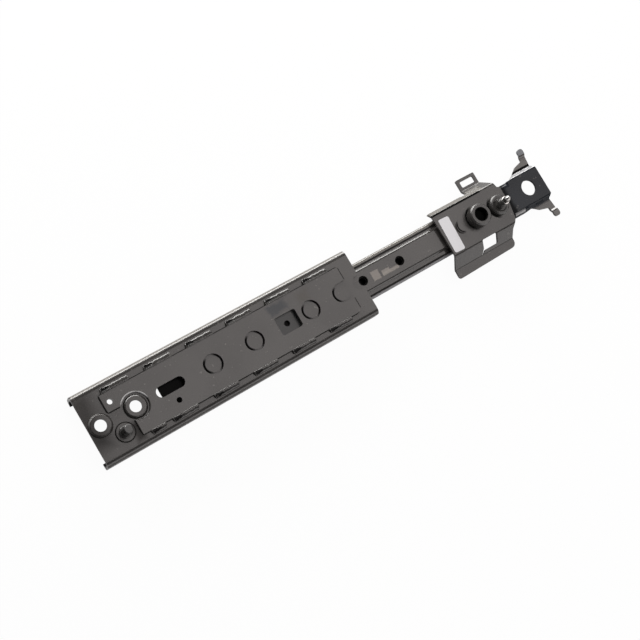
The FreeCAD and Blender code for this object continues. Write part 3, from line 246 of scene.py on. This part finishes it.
def coated_material(name, tone, cloud_tone, gloss, spread, shine=0.5):
    """A dipped or oiled finish on steel, built from the coat group."""
    material = bpy.data.materials.new(name)
    material.use_nodes = True
    nodes, links = material.node_tree.nodes, material.node_tree.links
    shader = nodes["Principled BSDF"]
    shader.inputs["Specular IOR Level"].default_value = 0.0
    shader.inputs["Coat Weight"].default_value = min(2 * shine, 1)
    shader.inputs["Coat Roughness"].default_value = gloss + 0.5 * spread
    coat = nodes.new("ShaderNodeGroup")
    coat.node_tree = dipped_coat
    coat.inputs["Tone"].default_value = (*tone, 1)
    coat.inputs["Cloud Tone"].default_value = (*cloud_tone, 1)
    coat.inputs["Gloss"].default_value = gloss
    coat.inputs["Gloss Spread"].default_value = spread
    relief = nodes.new("ShaderNodeBump")
    relief.inputs["Strength"].default_value = 1.0
    relief.inputs["Distance"].default_value = PEEL_DEPTH
    links.new(coat.outputs["Height"], relief.inputs["Height"])
    links.new(coat.outputs["Color"], shader.inputs["Base Color"])
    links.new(coat.outputs["Roughness"], shader.inputs["Roughness"])
    links.new(relief.outputs["Normal"], shader.inputs["Normal"])
    return material


def dress(node, material):
    """Give a CAD node its finish."""
    cad[node].data.materials.clear()
    cad[node].data.materials.append(material)


def patch_group():
    """A soft ragged rectangle in the shared frame, 1 inside and 0 outside."""
    group, start, end = new_group(
        "ragged patch",
        (("Centre", "Vector"), ("Half Size", "Vector"), ("Edge", "Float"), ("Ragged", "Float"),
         ("Grain", "Float")),
        (("Mask", "Float"),))
    nodes, links = group.nodes, group.links
    place = nodes.new("ShaderNodeTexCoord")
    grain = nodes.new("ShaderNodeTexNoise")
    grain.inputs["Detail"].default_value = 3.0
    links.new(place.outputs["Object"], grain.inputs["Vector"])
    links.new(start.outputs["Grain"], grain.inputs["Scale"])
    centred = nodes.new("ShaderNodeVectorMath")
    centred.operation = "SUBTRACT"
    centred.inputs[1].default_value = (0.5, 0.5, 0.5)
    links.new(grain.outputs["Color"], centred.inputs[0])
    pushed = nodes.new("ShaderNodeVectorMath")
    pushed.operation = "SCALE"
    links.new(centred.outputs[0], pushed.inputs[0])
    links.new(start.outputs["Ragged"], pushed.inputs["Scale"])
    moved = nodes.new("ShaderNodeVectorMath")
    moved.operation = "ADD"
    links.new(place.outputs["Object"], moved.inputs[0])
    links.new(pushed.outputs[0], moved.inputs[1])
    away = nodes.new("ShaderNodeVectorMath")
    away.operation = "SUBTRACT"
    links.new(moved.outputs[0], away.inputs[0])
    links.new(start.outputs["Centre"], away.inputs[1])
    folded = nodes.new("ShaderNodeVectorMath")
    folded.operation = "ABSOLUTE"
    links.new(away.outputs[0], folded.inputs[0])
    beyond = nodes.new("ShaderNodeVectorMath")
    beyond.operation = "SUBTRACT"
    links.new(folded.outputs[0], beyond.inputs[0])
    links.new(start.outputs["Half Size"], beyond.inputs[1])
    parts = nodes.new("ShaderNodeSeparateXYZ")
    links.new(beyond.outputs[0], parts.inputs[0])
    furthest = nodes.new("ShaderNodeMath")
    furthest.operation = "MAXIMUM"
    links.new(parts.outputs["X"], furthest.inputs[0])
    links.new(parts.outputs["Y"], furthest.inputs[1])
    mask = nodes.new("ShaderNodeMapRange")
    mask.inputs["To Min"].default_value = 1.0
    mask.inputs["To Max"].default_value = 0.0
    links.new(furthest.outputs[0], mask.inputs["Value"])
    links.new(start.outputs["Edge"], mask.inputs["From Max"])
    links.new(mask.outputs["Result"], end.inputs["Mask"])
    return group


ragged_patch = patch_group()


def arc_group():
    """A soft ring round a point in the shared frame, full or fading away from one direction."""
    group, start, end = new_group(
        "arc",
        (("Centre", "Vector"), ("Toward", "Vector"), ("Fill", "Float"), ("Radius", "Float"),
         ("Half Width", "Float"), ("Edge", "Float")),
        (("Mask", "Float"),))
    nodes, links = group.nodes, group.links
    place = nodes.new("ShaderNodeTexCoord")
    away = nodes.new("ShaderNodeVectorMath")
    away.operation = "SUBTRACT"
    links.new(place.outputs["Object"], away.inputs[0])
    links.new(start.outputs["Centre"], away.inputs[1])
    flat = nodes.new("ShaderNodeVectorMath")
    flat.operation = "MULTIPLY"
    flat.inputs[1].default_value = (1, 1, 0)
    links.new(away.outputs[0], flat.inputs[0])
    length = nodes.new("ShaderNodeVectorMath")
    length.operation = "LENGTH"
    links.new(flat.outputs[0], length.inputs[0])
    off = nodes.new("ShaderNodeMath")
    off.operation = "SUBTRACT"
    links.new(length.outputs["Value"], off.inputs[0])
    links.new(start.outputs["Radius"], off.inputs[1])
    distance = nodes.new("ShaderNodeMath")
    distance.operation = "ABSOLUTE"
    links.new(off.outputs[0], distance.inputs[0])
    beyond = nodes.new("ShaderNodeMath")
    beyond.operation = "SUBTRACT"
    links.new(distance.outputs[0], beyond.inputs[0])
    links.new(start.outputs["Half Width"], beyond.inputs[1])
    ring = nodes.new("ShaderNodeMapRange")
    ring.inputs["To Min"].default_value = 1.0
    ring.inputs["To Max"].default_value = 0.0
    links.new(beyond.outputs[0], ring.inputs["Value"])
    links.new(start.outputs["Edge"], ring.inputs["From Max"])
    heading = nodes.new("ShaderNodeVectorMath")
    heading.operation = "NORMALIZE"
    links.new(flat.outputs[0], heading.inputs[0])
    facing = nodes.new("ShaderNodeVectorMath")
    facing.operation = "DOT_PRODUCT"
    links.new(heading.outputs[0], facing.inputs[0])
    links.new(start.outputs["Toward"], facing.inputs[1])
    kept = nodes.new("ShaderNodeMath")
    kept.operation = "ADD"
    kept.use_clamp = True
    links.new(facing.outputs["Value"], kept.inputs[0])
    links.new(start.outputs["Fill"], kept.inputs[1])
    mask = nodes.new("ShaderNodeMath")
    mask.operation = "MULTIPLY"
    links.new(ring.outputs["Result"], mask.inputs[0])
    links.new(kept.outputs[0], mask.inputs[1])
    links.new(mask.outputs[0], end.inputs["Mask"])
    return group


soft_arc = arc_group()


def add_patch(material, centre, half_size, edge, ragged, grain, colour, strength, shine):
    """Lay a ragged rectangle of another colour and shine on a finish."""
    patch = material.node_tree.nodes.new("ShaderNodeGroup")
    patch.node_tree = ragged_patch
    patch.inputs["Centre"].default_value = (centre[0] * MM, centre[1] * MM, 0)
    patch.inputs["Half Size"].default_value = (half_size[0] * MM, half_size[1] * MM, 0)
    patch.inputs["Edge"].default_value = edge * MM
    patch.inputs["Ragged"].default_value = ragged * MM
    patch.inputs["Grain"].default_value = grain
    tint_and_gloss(material, patch, colour, strength, shine)


def add_arc(material, centre, radius, half_width, colour, strength, shine, toward=(0, 0), fill=1.0):
    """Lay a ring, a disc or an arc of another colour and shine on a finish."""
    arc = material.node_tree.nodes.new("ShaderNodeGroup")
    arc.node_tree = soft_arc
    arc.inputs["Centre"].default_value = (centre[0] * MM, centre[1] * MM, 0)
    arc.inputs["Radius"].default_value = radius * MM
    arc.inputs["Half Width"].default_value = half_width * MM
    arc.inputs["Edge"].default_value = ARC_EDGE * MM
    arc.inputs["Toward"].default_value = (*toward, 0)
    arc.inputs["Fill"].default_value = fill
    tint_and_gloss(material, arc, colour, strength, shine)


def tint_and_gloss(material, mark, colour, strength, shine):
    """Mix a masked colour and shine into a finish that has such marks or none yet."""
    nodes, links = material.node_tree.nodes, material.node_tree.links
    shader = nodes["Principled BSDF"]
    amount = nodes.new("ShaderNodeMath")
    amount.operation = "MULTIPLY"
    amount.inputs[1].default_value = strength
    links.new(mark.outputs["Mask"], amount.inputs[0])
    tint = nodes.new("ShaderNodeMix")
    tint.data_type = "RGBA"
    tint.inputs["B"].default_value = (*colour, 1)
    links.new(amount.outputs[0], tint.inputs["Factor"])
    links.new(shader.inputs["Base Color"].links[0].from_socket, tint.inputs["A"])
    links.new(tint.outputs["Result"], shader.inputs["Base Color"])
    gleam = nodes.new("ShaderNodeMix")
    level = shader.inputs["Coat Weight"]
    gleam.inputs["A"].default_value = level.default_value
    gleam.inputs["B"].default_value = min(2 * shine, 1)
    links.new(mark.outputs["Mask"], gleam.inputs["Factor"])
    if level.links:
        links.new(level.links[0].from_socket, gleam.inputs["A"])
    links.new(gleam.outputs["Result"], level)


black_coat = coated_material("black dip coat", RAIL_TONE, RAIL_CLOUDS, gloss=0.14, spread=0.14)
# Painted shade: the web is darker and less glossy at its left end and beside the pad.
add_patch(black_coat, (-23.5, 6.0), (3.0, 18.0), edge=12.0, ragged=6.0, grain=60.0,
          colour=RAIL_TONE, strength=0.5, shine=0.18)
add_patch(black_coat, (8.0, -19.0), (1.5, 6.0), edge=5.0, ragged=2.0, grain=60.0,
          colour=RAIL_TONE, strength=0.5, shine=0.12)
# Painted shade round the pad's rim.
add_arc(black_coat, PAD, radius=8.5, half_width=0.25, colour=PAINTED_SHADE, strength=0.8, shine=0.05)
# Painted glints on the upper rims of the two bosses.
add_arc(black_coat, SECOND_BOSS, radius=9.0, half_width=0.4, colour=PAINTED_GLINT, strength=0.25, shine=1.0,
        toward=(0, 3), fill=-1.8)
add_arc(black_coat, FIRST_BOSS, radius=9.6, half_width=0.4, colour=PAINTED_GLINT, strength=0.2, shine=1.0,
        toward=(-1.5, 2.6), fill=-2.2)
# A painted highlight along the upper bend.
add_patch(black_coat, (114.0, 33.0), (140.0, 1.2), edge=0.8, ragged=0.3, grain=200.0,
          colour=RAIL_BEND_HIGHLIGHT, strength=0.8, shine=1.0)
# Painted shade at both sides of each pressed button.
for button in BUTTONS:
    add_arc(black_coat, button, radius=8.0, half_width=1.0, colour=PAINTED_SHADE, strength=0.95, shine=0.03,
            toward=(-2.5, 0), fill=-0.9)
# The last button has no painted shade on its right, where the plate is open.
for button in BUTTONS[:3]:
    add_arc(black_coat, button, radius=8.4, half_width=0.8, colour=PAINTED_SHADE, strength=0.95, shine=0.03,
            toward=(2.5, 0), fill=-0.9)
dress("outer_rail", black_coat)


# The mounting plate: 2.5 mm sheet welded on the web, in the same coat, with painted shade along its edges,
# a bluish smudge between the window and the upper edge, a fainter one beside it, and painted glints round
# the second boss.
BLUISH_SMUDGE = (0.018, 0.022, 0.028)
FAINT_SMUDGE = (0.035, 0.030, 0.024)
# An edge shade is a centre and a half size; a painted glint is the side that an arc faces and how much
# of it is left.
PLATE_EDGE_SHADE = (
    ((116.6, 22.8), (123.0, 0.3)), ((125.0, -24.4), (114.5, 0.3)), ((-6.6, 14.2), (0.3, 8.6)),
    ((10.2, -17.0), (0.3, 7.6)), ((-1.0, 5.7), (5.5, 0.3)), ((239.7, 15.5), (0.2, 6.0)),
    ((239.7, -16.5), (0.2, 6.0)))
BOSS_GLINTS = (((-3.0, 5.2), -5.2), ((0.9, 5.9), -5.3), ((5.0, 3.4), -5.3))
plate_coat = coated_material("plate dip coat", RAIL_TONE, RAIL_CLOUDS, gloss=0.13, spread=0.12)
add_patch(plate_coat, (168.5, 16.0), (6.5, 3.0), edge=4.0, ragged=10.0, grain=120.0,
          colour=BLUISH_SMUDGE, strength=0.8, shine=0.36)
add_patch(plate_coat, (196.5, 14.0), (3.0, 2.0), edge=6.0, ragged=10.0, grain=120.0,
          colour=FAINT_SMUDGE, strength=0.8, shine=0.44)
# Painted shade along the plate's edges.
for centre, half_size in PLATE_EDGE_SHADE:
    add_patch(plate_coat, centre, half_size, edge=0.4, ragged=0.3, grain=300.0,
              colour=PAINTED_SHADE, strength=0.9, shine=0.05)
# Painted glints round the second boss.
for toward, fill in BOSS_GLINTS:
    add_arc(plate_coat, SECOND_BOSS, radius=12.2, half_width=0.6, colour=PAINTED_GLINT, strength=1.0, shine=1.0,
            toward=toward, fill=fill)
dress("mounting_plate", plate_coat)


# The weld beads: twelve fillet beads between the plate's long edges and the web. Each has close ripples,
# squarish ends and a drawn-out crater where it was struck, with a painted dark reflection in the crater, and
# lies under the same coat.
WEB_TOP = -3.0
PLATE_TOP = -0.5
BEAD_STEP = 0.28
BEAD_ROWS = 14
BEAD_END = 1.5
BEAD_LAP = 0.75
BEAD_CROWN = 0.35
BEAD_SINK = 0.04
LEAST_SWELL = 0.05
REACH_RATE, REACH_SEED, REACH_WANDER = 0.35, 7.1, 0.12
LAP_RATE, LAP_SEED, LAP_WANDER, LAP_LAYER = 0.9, 3.3, 0.8, 5
SURFACE_RATE, SURFACE_SEED, SURFACE_WANDER = 0.6, 5.7, 0.12
RIPPLE_PITCH = 1.25
RIPPLE_HEIGHT = 0.045
RIPPLE_BOW = 0.9
CRATER_START = 0.9
CRATER_LENGTH = 9.0
CRATER_DEPTH = 1.5
CRATER_MIDDLE, CRATER_HALF, CRATER_TAPER = 0.42, 0.55, 0.8
CRATER_DARK_MIDDLE, CRATER_DARK_HALF = 0.45, 0.42
CRATER_RISE = 8
BEAD_CREASE = 70
UPPER_START, UPPER_PITCH, UPPER_LENGTH = -3.5, 41.2, 27.2
LOWER_START, LOWER_PITCH, LOWER_LENGTH = 38.2, 41.0, 25.3
SHORT_BEAD = (17.4, 14.4)
UPPER_BEADS = [(UPPER_START + UPPER_PITCH * place, UPPER_LENGTH) for place in range(6)]
LOWER_BEADS = [SHORT_BEAD] + [(LOWER_START + LOWER_PITCH * place, LOWER_LENGTH) for place in range(5)]


def bead_level(s, across, reach, lap, swell, seed):
    """Height of a bead's surface at a place along it and out from the plate's edge."""
    if across < 0:
        ground = PLATE_TOP
        crest = PLATE_TOP + BEAD_CROWN * swell * (1 - (across / lap) ** 2)
    else:
        ground = WEB_TOP
        out = min(across / reach, 1)
        crest = WEB_TOP + (PLATE_TOP - WEB_TOP + BEAD_CROWN * swell) * sqrt(1 - out ** 2)
    bow = RIPPLE_BOW * (across / reach) ** 2
    wander = noise.noise(Vector((s * SURFACE_RATE, across * SURFACE_RATE, seed * SURFACE_SEED)))
    crest += RIPPLE_HEIGHT * swell * cos(2 * pi * (s + bow + 0.5 * wander) / RIPPLE_PITCH)
    crest += SURFACE_WANDER * swell * wander
    along = (s - CRATER_START) / CRATER_LENGTH
    if 0 < along < 1:
        half = CRATER_HALF * reach * (1 - along) ** CRATER_TAPER
        offset = (across - CRATER_MIDDLE * reach) / half
        if abs(offset) < 1:
            bowl = (1 - offset ** 2) * (1 - along) ** 0.5 * min(1, along * CRATER_RISE)
            crest -= CRATER_DEPTH * bowl
    return max(crest, ground + BEAD_SINK)


def in_crater(s, row_share):
    """True where a bead's surface lies in the painted dark reflection of its crater."""
    along = (s - CRATER_START) / CRATER_LENGTH
    if not 0 < along < 1:
        return False
    return abs(row_share - CRATER_DARK_MIDDLE) < CRATER_DARK_HALF * (1 - along) ** CRATER_TAPER


def add_bead(mesh, start, length, edge, side, width, seed):
    """One closed bead, as a grid of surface points over a flat underside."""
    columns = round(length / BEAD_STEP)
    top, under = [], []
    for column in range(columns + 1):
        s = length * column / columns
        inward = min(min(s, length - s) / BEAD_END, 1)
        swell = max(sqrt(1 - (1 - inward) ** 2), LEAST_SWELL)
        reach_noise = noise.noise(Vector((s * REACH_RATE, seed * REACH_SEED, 0)))
        reach = width * swell * (1 + REACH_WANDER * reach_noise)
        lap_noise = noise.noise(Vector((s * LAP_RATE, seed * LAP_SEED, LAP_LAYER)))
        lap = BEAD_LAP * swell * (1 + LAP_WANDER * lap_noise)
        top_row, under_row = [], []
        for row in range(BEAD_ROWS + 1):
            across = -lap + (reach + lap) * row / BEAD_ROWS
            level = bead_level(s, across, reach, lap, swell, seed)
            base = (PLATE_TOP if across < 0 else WEB_TOP) - BEAD_SINK
            spot = ((start + s) * MM, (edge + across) * side * MM)
            top_row.append(mesh.verts.new((*spot, level * MM)))
            under_row.append(mesh.verts.new((*spot, base * MM)))
        top.append(top_row)
        under.append(under_row)
    for first, second in zip(range(columns), range(1, columns + 1)):
        for near, far in zip(range(BEAD_ROWS), range(1, BEAD_ROWS + 1)):
            for layer in (top, under):
                face = mesh.faces.new((
                    layer[first][near], layer[second][near], layer[second][far], layer[first][far]))
                face.material_index = int(in_crater(length * first / columns, near / BEAD_ROWS))
        for row in (0, BEAD_ROWS):
            mesh.faces.new((top[first][row], top[second][row], under[second][row], under[first][row]))
    for column in (0, columns):
        for near, far in zip(range(BEAD_ROWS), range(1, BEAD_ROWS + 1)):
            mesh.faces.new((top[column][near], top[column][far], under[column][far], under[column][near]))


def finish_piece(name, mesh, body, node, materials, crease):
    """Turn a mesh into a piece that stands for a CAD node and rides on its body."""
    bmesh.ops.recalc_face_normals(mesh, faces=mesh.faces)
    for face in mesh.faces:
        face.smooth = True
    data = bpy.data.meshes.new(name)
    mesh.to_mesh(data)
    mesh.free()
    data.set_sharp_from_angle(angle=radians(crease))
    for material in materials:
        data.materials.append(material)
    piece = bpy.data.objects.new(name, data)
    bpy.context.collection.objects.link(piece)
    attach(piece, body)
    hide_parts(node)


weld_coat = coated_material(
    "coated weld", (0.028, 0.026, 0.025), (0.040, 0.038, 0.036), gloss=0.10, spread=0.14, shine=0.8)
# The crater's part of each bead is painted near-black as a dark reflection.
crater_dark_reflection = coated_material(
    "crater painted dark reflection", PAINTED_SHADE, (0.010, 0.009, 0.009), gloss=0.20, spread=0.14, shine=0.08)
for name, node, beads, edge, side, width, first_seed in (
        ("upper_weld_beads", "upper_welds", UPPER_BEADS, 23.0, 1, 4.6, 10),
        ("lower_weld_beads", "lower_welds", LOWER_BEADS, 24.6, -1, 3.9, 0)):
    bead_mesh = bmesh.new()
    for number, (start, length) in enumerate(beads):
        add_bead(bead_mesh, start, length, edge, side, width, first_seed + number)
    finish_piece(name, bead_mesh, "outer", node, [weld_coat, crater_dark_reflection], BEAD_CREASE)


# The inner rail: 2.5 mm sheet folded to a narrower channel with a raised face, in the same coat. Three pale
# etched marks, with nothing to read in them, lie between its two holes. Painted shade blackens the run that
# stays inside and a spot below the nut plate's hole; lines of painted shade and painted highlight follow the
# folds.
ETCHED = (0.20, 0.178, 0.158)
ETCHED_MARKS = (((273.5, -1.0), (3.8, 4.2)), ((284.7, -2.2), (4.0, 1.8)), ((289.7, -3.8), (9.0, 1.2)))
# Near-black for painted shade: the run seen through the slot, the spot below the nut plate's hole, the fold lines
# and the welded nuts.
PAINTED_DEEP_SHADE = (0.004, 0.004, 0.004)
UPPER_FOLD_HIGHLIGHT, LOWER_FOLD_HIGHLIGHT = (0.17, 0.16, 0.145), (0.22, 0.22, 0.23)
# A fold line is its place across the rail, its half width, its colour and its shine; each is painted shade
# or a painted highlight.
PAINTED_FOLD_LINES = ((14.3, 0.6, PAINTED_DEEP_SHADE, 0.04), (17.3, 1.4, UPPER_FOLD_HIGHLIGHT, 1.0),
              (-16.0, 0.6, PAINTED_DEEP_SHADE, 0.04), (-18.0, 0.8, LOWER_FOLD_HIGHLIGHT, 1.0))
inner_coat = coated_material("inner rail dip coat", RAIL_TONE, RAIL_CLOUDS, gloss=0.14, spread=0.14)
for centre, half_size in ETCHED_MARKS:
    add_patch(inner_coat, centre, half_size, edge=0.8, ragged=1.6, grain=900.0,
              colour=ETCHED, strength=0.75, shine=0.5)
# Painted shade on the run that stays inside and on the spot below the nut plate's hole.
add_patch(inner_coat, (55.0, 0), (30.0, 30.0), edge=20.0, ragged=6.0, grain=90.0,
          colour=PAINTED_DEEP_SHADE, strength=1.0, shine=0.02)
add_patch(inner_coat, (171.2, -0.5), (2.4, 2.0), edge=3.5, ragged=4.0, grain=300.0,
          colour=PAINTED_DEEP_SHADE, strength=0.93, shine=0.02)
# Painted shade and painted highlights along the folds.
for across, half_width, colour, shine in PAINTED_FOLD_LINES:
    add_patch(inner_coat, (370.0, across), (120.0, half_width), edge=0.4, ragged=0.2, grain=150.0,
              colour=colour, strength=0.7, shine=shine)
dress("inner_rail", inner_coat)


# The end bracket: one folded sheet with an ear, a wing and a lip, in the same coat, a little drier. A painted
# highlight lies along its upper fold above a line of painted shade, and painted shade lies at the left of
# the screw, the stud and the half-moon.
SCREW, STUD, HALF_MOON = (397.5, 0), (425.0, 0), (378.6, -0.4)
BRACKET_FOLD_HIGHLIGHT = (0.12, 0.112, 0.100)
bracket_coat = coated_material("bracket dip coat", RAIL_TONE, RAIL_CLOUDS, gloss=0.20, spread=0.14)
# A painted highlight on the upper fold and a line of painted shade below it.
add_patch(bracket_coat, (384.0, 25.0), (36.0, 2.2), edge=0.8, ragged=1.0, grain=150.0,
          colour=BRACKET_FOLD_HIGHLIGHT, strength=0.8, shine=1.0)
add_patch(bracket_coat, (382.0, 21.5), (33.0, 0.9), edge=0.4, ragged=0.4, grain=150.0,
          colour=PAINTED_SHADE, strength=1.0, shine=0.03)
# Painted shade arcs at the left of the screw, the stud and the half-moon.
for centre, radius, half_width, toward, fill in (
        (SCREW, 12.0, 0.9, (-2.2, 0.5), -0.5), (STUD, 11.5, 1.1, (-2.2, -0.3), -0.6),
        (HALF_MOON, 6.5, 0.6, (-2.2, -0.6), -0.6)):
    add_arc(bracket_coat, centre, radius, half_width, colour=PAINTED_SHADE, strength=1.0, shine=0.02,
            toward=toward, fill=fill)
dress("end_bracket", bracket_coat)


# The label: a blank white paper rectangle stuck on the bracket's face.
def plain_material(name, colour, roughness, metallic=0.0):
    """A finish of one even tone."""
    material = bpy.data.materials.new(name)
    material.use_nodes = True
    shader = material.node_tree.nodes["Principled BSDF"]
    shader.inputs["Base Color"].default_value = (*colour, 1)
    shader.inputs["Roughness"].default_value = roughness
    shader.inputs["Metallic"].default_value = metallic
    return material


dress("bracket_label", plain_material("blank label", (0.64, 0.64, 0.662), roughness=0.55))


# The fasteners: the locating pin, the socket screw, and the washers and nuts behind the inner rail, all
# turned or forged steel with an oiled black oxide. The screw's socket is painted dark inside as shade, the pin
# is darker than the rest with a painted highlight on its tip, and the two welded nuts are painted near-black
# as shade.
SOCKET_RADIUS = 7.2
PAINTED_TIP_HIGHLIGHT = (0.06, 0.06, 0.06)
black_oxide = coated_material(
    "black oxide", (0.022, 0.021, 0.020), (0.032, 0.030, 0.029), gloss=0.20, spread=0.12, shine=0.45)
# Painted shade inside the screw's socket.
add_arc(black_oxide, SCREW, radius=0.0, half_width=SOCKET_RADIUS, colour=PAINTED_SHADE, strength=0.9, shine=0.03)
for node in ("socket_screw", "socket_screw_nut", "socket_screw_washer", "stud_nut", "stud_washer"):
    dress(node, black_oxide)
pin_oxide = coated_material(
    "pin oxide", (0.013, 0.0125, 0.012), (0.020, 0.019, 0.018), gloss=0.20, spread=0.12, shine=0.4)
# A painted highlight on the pin's tip.
add_patch(pin_oxide, PAD, (2.8, 2.8), edge=0.6, ragged=0.8, grain=300.0,
          colour=PAINTED_TIP_HIGHLIGHT, strength=0.6, shine=0.6)
dress("locating_pin", pin_oxide)
# The two welded nuts are painted near-black as shade inside the rail's holes.
dress("inner_rail_nuts", coated_material("nut in painted shade", PAINTED_DEEP_SHADE, PAINTED_DEEP_SHADE, gloss=0.25, spread=0.10, shine=0.05))


# The flange stud: a flange and a small hexagon, a rolled M8 thread, and a smooth bright tip that guides
# the nut on. It replaces the plain stud, whose thread is a cylinder. A profile pairs height and radius.
STUD_SEGMENTS = 48
SHANK_AND_FLANGE = (
    (-19.4, 4.0), (-18.4, 5.0), (-3.4, 5.0), (-3.4, 10.3), (-0.1, 10.3), (1.1, 9.1), (1.1, 7.0), (0.8, 6.4),
    (0.8, 5.95))
HEXAGON = ((0.85, 6.0), (4.4, 6.0), (4.9, 5.2))
HEX_APOTHEM = 5.0
THREAD_LOW, THREAD_HIGH = 4.9, 12.3
THREAD_PITCH = 1.25
THREAD_DEPTH = 0.62
THREAD_RADIUS = 4.0
STEPS_A_TURN = 8
NECK_RADIUS, NECK_HEIGHT = 3.35, 0.2
TIP_RADIUS = 3.15
TIP_SHOULDER, TIP_TOP = 14.5, 20.5
BULLET_STEPS = 8
BRIGHT_LOW = 11.2
STUD_CREASE = 35


def hex_radius(turn):
    """Distance from the axis to a hexagon's side."""
    return HEX_APOTHEM / cos(turn % (pi / 3) - pi / 6)


def thread_radius(z, turn):
    """Distance from the axis to a rounded V thread."""
    phase = ((z - THREAD_LOW) / THREAD_PITCH - turn / (2 * pi)) % 1
    fade = min(1, (z - THREAD_LOW) / THREAD_PITCH, (THREAD_HIGH - z) / (THREAD_PITCH / 2))
    return THREAD_RADIUS - THREAD_DEPTH * max(fade, 0) * (1 - cos(2 * pi * phase)) / 2


turns = [2 * pi * place / STUD_SEGMENTS for place in range(STUD_SEGMENTS)]
rings = [(z, [radius] * STUD_SEGMENTS) for z, radius in SHANK_AND_FLANGE]
rings += [(z, [min(hex_radius(turn), limit) for turn in turns]) for z, limit in HEXAGON]
thread_steps = round((THREAD_HIGH - THREAD_LOW) / THREAD_PITCH * STEPS_A_TURN)
for step in range(thread_steps + 1):
    z = THREAD_LOW + (THREAD_HIGH - THREAD_LOW) * step / thread_steps
    rings.append((z, [thread_radius(z, turn) for turn in turns]))
rings.append((THREAD_HIGH, [NECK_RADIUS] * STUD_SEGMENTS))
rings.append((THREAD_HIGH + NECK_HEIGHT, [TIP_RADIUS] * STUD_SEGMENTS))
for step in range(BULLET_STEPS):
    lean = pi / 2 * step / BULLET_STEPS
    level = TIP_SHOULDER + (TIP_TOP - TIP_SHOULDER) * sin(lean)
    rings.append((level, [TIP_RADIUS * cos(lean)] * STUD_SEGMENTS))
stud_mesh = bmesh.new()
stud_rows = []
for z, radii in rings:
    stud_rows.append([
        stud_mesh.verts.new(((STUD[0] + radius * cos(turn)) * MM, radius * sin(turn) * MM, z * MM))
        for radius, turn in zip(radii, turns)])
for low, high in zip(stud_rows, stud_rows[1:]):
    for place in range(STUD_SEGMENTS):
        after = (place + 1) % STUD_SEGMENTS
        face = stud_mesh.faces.new((low[place], low[after], high[after], high[place]))
        face.material_index = int(low[place].co.z > BRIGHT_LOW * MM)
stud_mesh.faces.new(list(reversed(stud_rows[0])))
cap = stud_mesh.verts.new((STUD[0] * MM, 0, TIP_TOP * MM))
for place in range(STUD_SEGMENTS):
    face = stud_mesh.faces.new((stud_rows[-1][place], stud_rows[-1][(place + 1) % STUD_SEGMENTS], cap))
    face.material_index = 1

bright_tip = plain_material("bright tip", (0.42, 0.41, 0.40), roughness=0.22, metallic=1.0)
finish_piece("threaded_flange_stud", stud_mesh, "inner", "flange_stud",
             [black_oxide, bright_tip], STUD_CREASE)


# The yoke: one folded stamping in a smoother, bluer black than the rails. Its ears carry a paler painted
# sheen, its upper bend a painted highlight beside a line of painted shade, its upper finger tip a painted
# bluish reflection, its lower neck a painted glint, and its tongue painted shade from the bracket.
PAINTED_EAR_SHEEN = (0.070, 0.064, 0.058)
YOKE_BEND_HIGHLIGHT = (0.25, 0.25, 0.26)
PAINTED_BLUISH_REFLECTION = (0.10, 0.11, 0.125)
YOKE_GRAIN = 200.0
yoke_coat = coated_material(
    "blue black coat", (0.012, 0.0135, 0.017), (0.018, 0.0205, 0.025), gloss=0.09, spread=0.10, shine=0.15)
# Painted sheen on the ears, a painted highlight on the upper bend with painted shade beside it, a painted bluish
# reflection on the finger tip, painted shade on the tongue and a painted glint on the lower neck.
for centre, half_size, edge, ragged, colour, strength, shine in (
        ((478.0, 37.0), (30.0, 14.0), 2.0, 2.0, PAINTED_EAR_SHEEN, 0.9, 0.7),
        ((478.0, -35.0), (30.0, 14.0), 2.0, 2.0, PAINTED_EAR_SHEEN, 0.7, 0.6),
        ((475.0, 19.0), (22.0, 1.4), 0.6, 0.6, YOKE_BEND_HIGHLIGHT, 0.8, 1.0),
        ((475.0, 21.9), (24.0, 1.0), 0.5, 0.5, PAINTED_SHADE, 1.0, 0.02),
        ((483.5, 40.0), (5.0, 5.5), 0.8, 0.8, PAINTED_BLUISH_REFLECTION, 0.8, 0.8),
        ((437.5, 0.0), (4.0, 16.0), 4.0, 2.0, PAINTED_SHADE, 0.8, 0.03),
        ((446.0, -16.6), (6.0, 0.9), 1.0, 1.0, PAINTED_GLINT, 0.35, 1.0)):
    add_patch(yoke_coat, centre, half_size, edge, ragged, YOKE_GRAIN, colour, strength, shine)
dress("yoke", yoke_coat)


# The nut plate: a stamping behind the rail's window, in a greyer coat, with painted shade round its threaded
# hole.
NUT_HOLE = (171.8, -0.5)
nut_plate_coat = coated_material(
    "nut plate coat", (0.030, 0.031, 0.032), (0.040, 0.041, 0.042), gloss=0.22, spread=0.10, shine=0.36)
# Painted shade round the threaded hole.
add_arc(nut_plate_coat, NUT_HOLE, radius=0.0, half_width=2.7, colour=PAINTED_SHADE, strength=0.95, shine=0.03)
dress("nut_plate", nut_plate_coat)


# The balls and their cages: polished steel balls in strips of natural nylon.
ball_material = plain_material("ball steel", (0.62, 0.62, 0.63), roughness=0.08, metallic=1.0)
cage_material = coated_material("cage nylon", (0.52, 0.48, 0.40), (0.58, 0.54, 0.46), gloss=0.40, spread=0.10)
for side in ("upper", "lower"):
    dress(f"{side}_balls", ball_material)
    dress(f"{side}_ball_cage", cage_material)
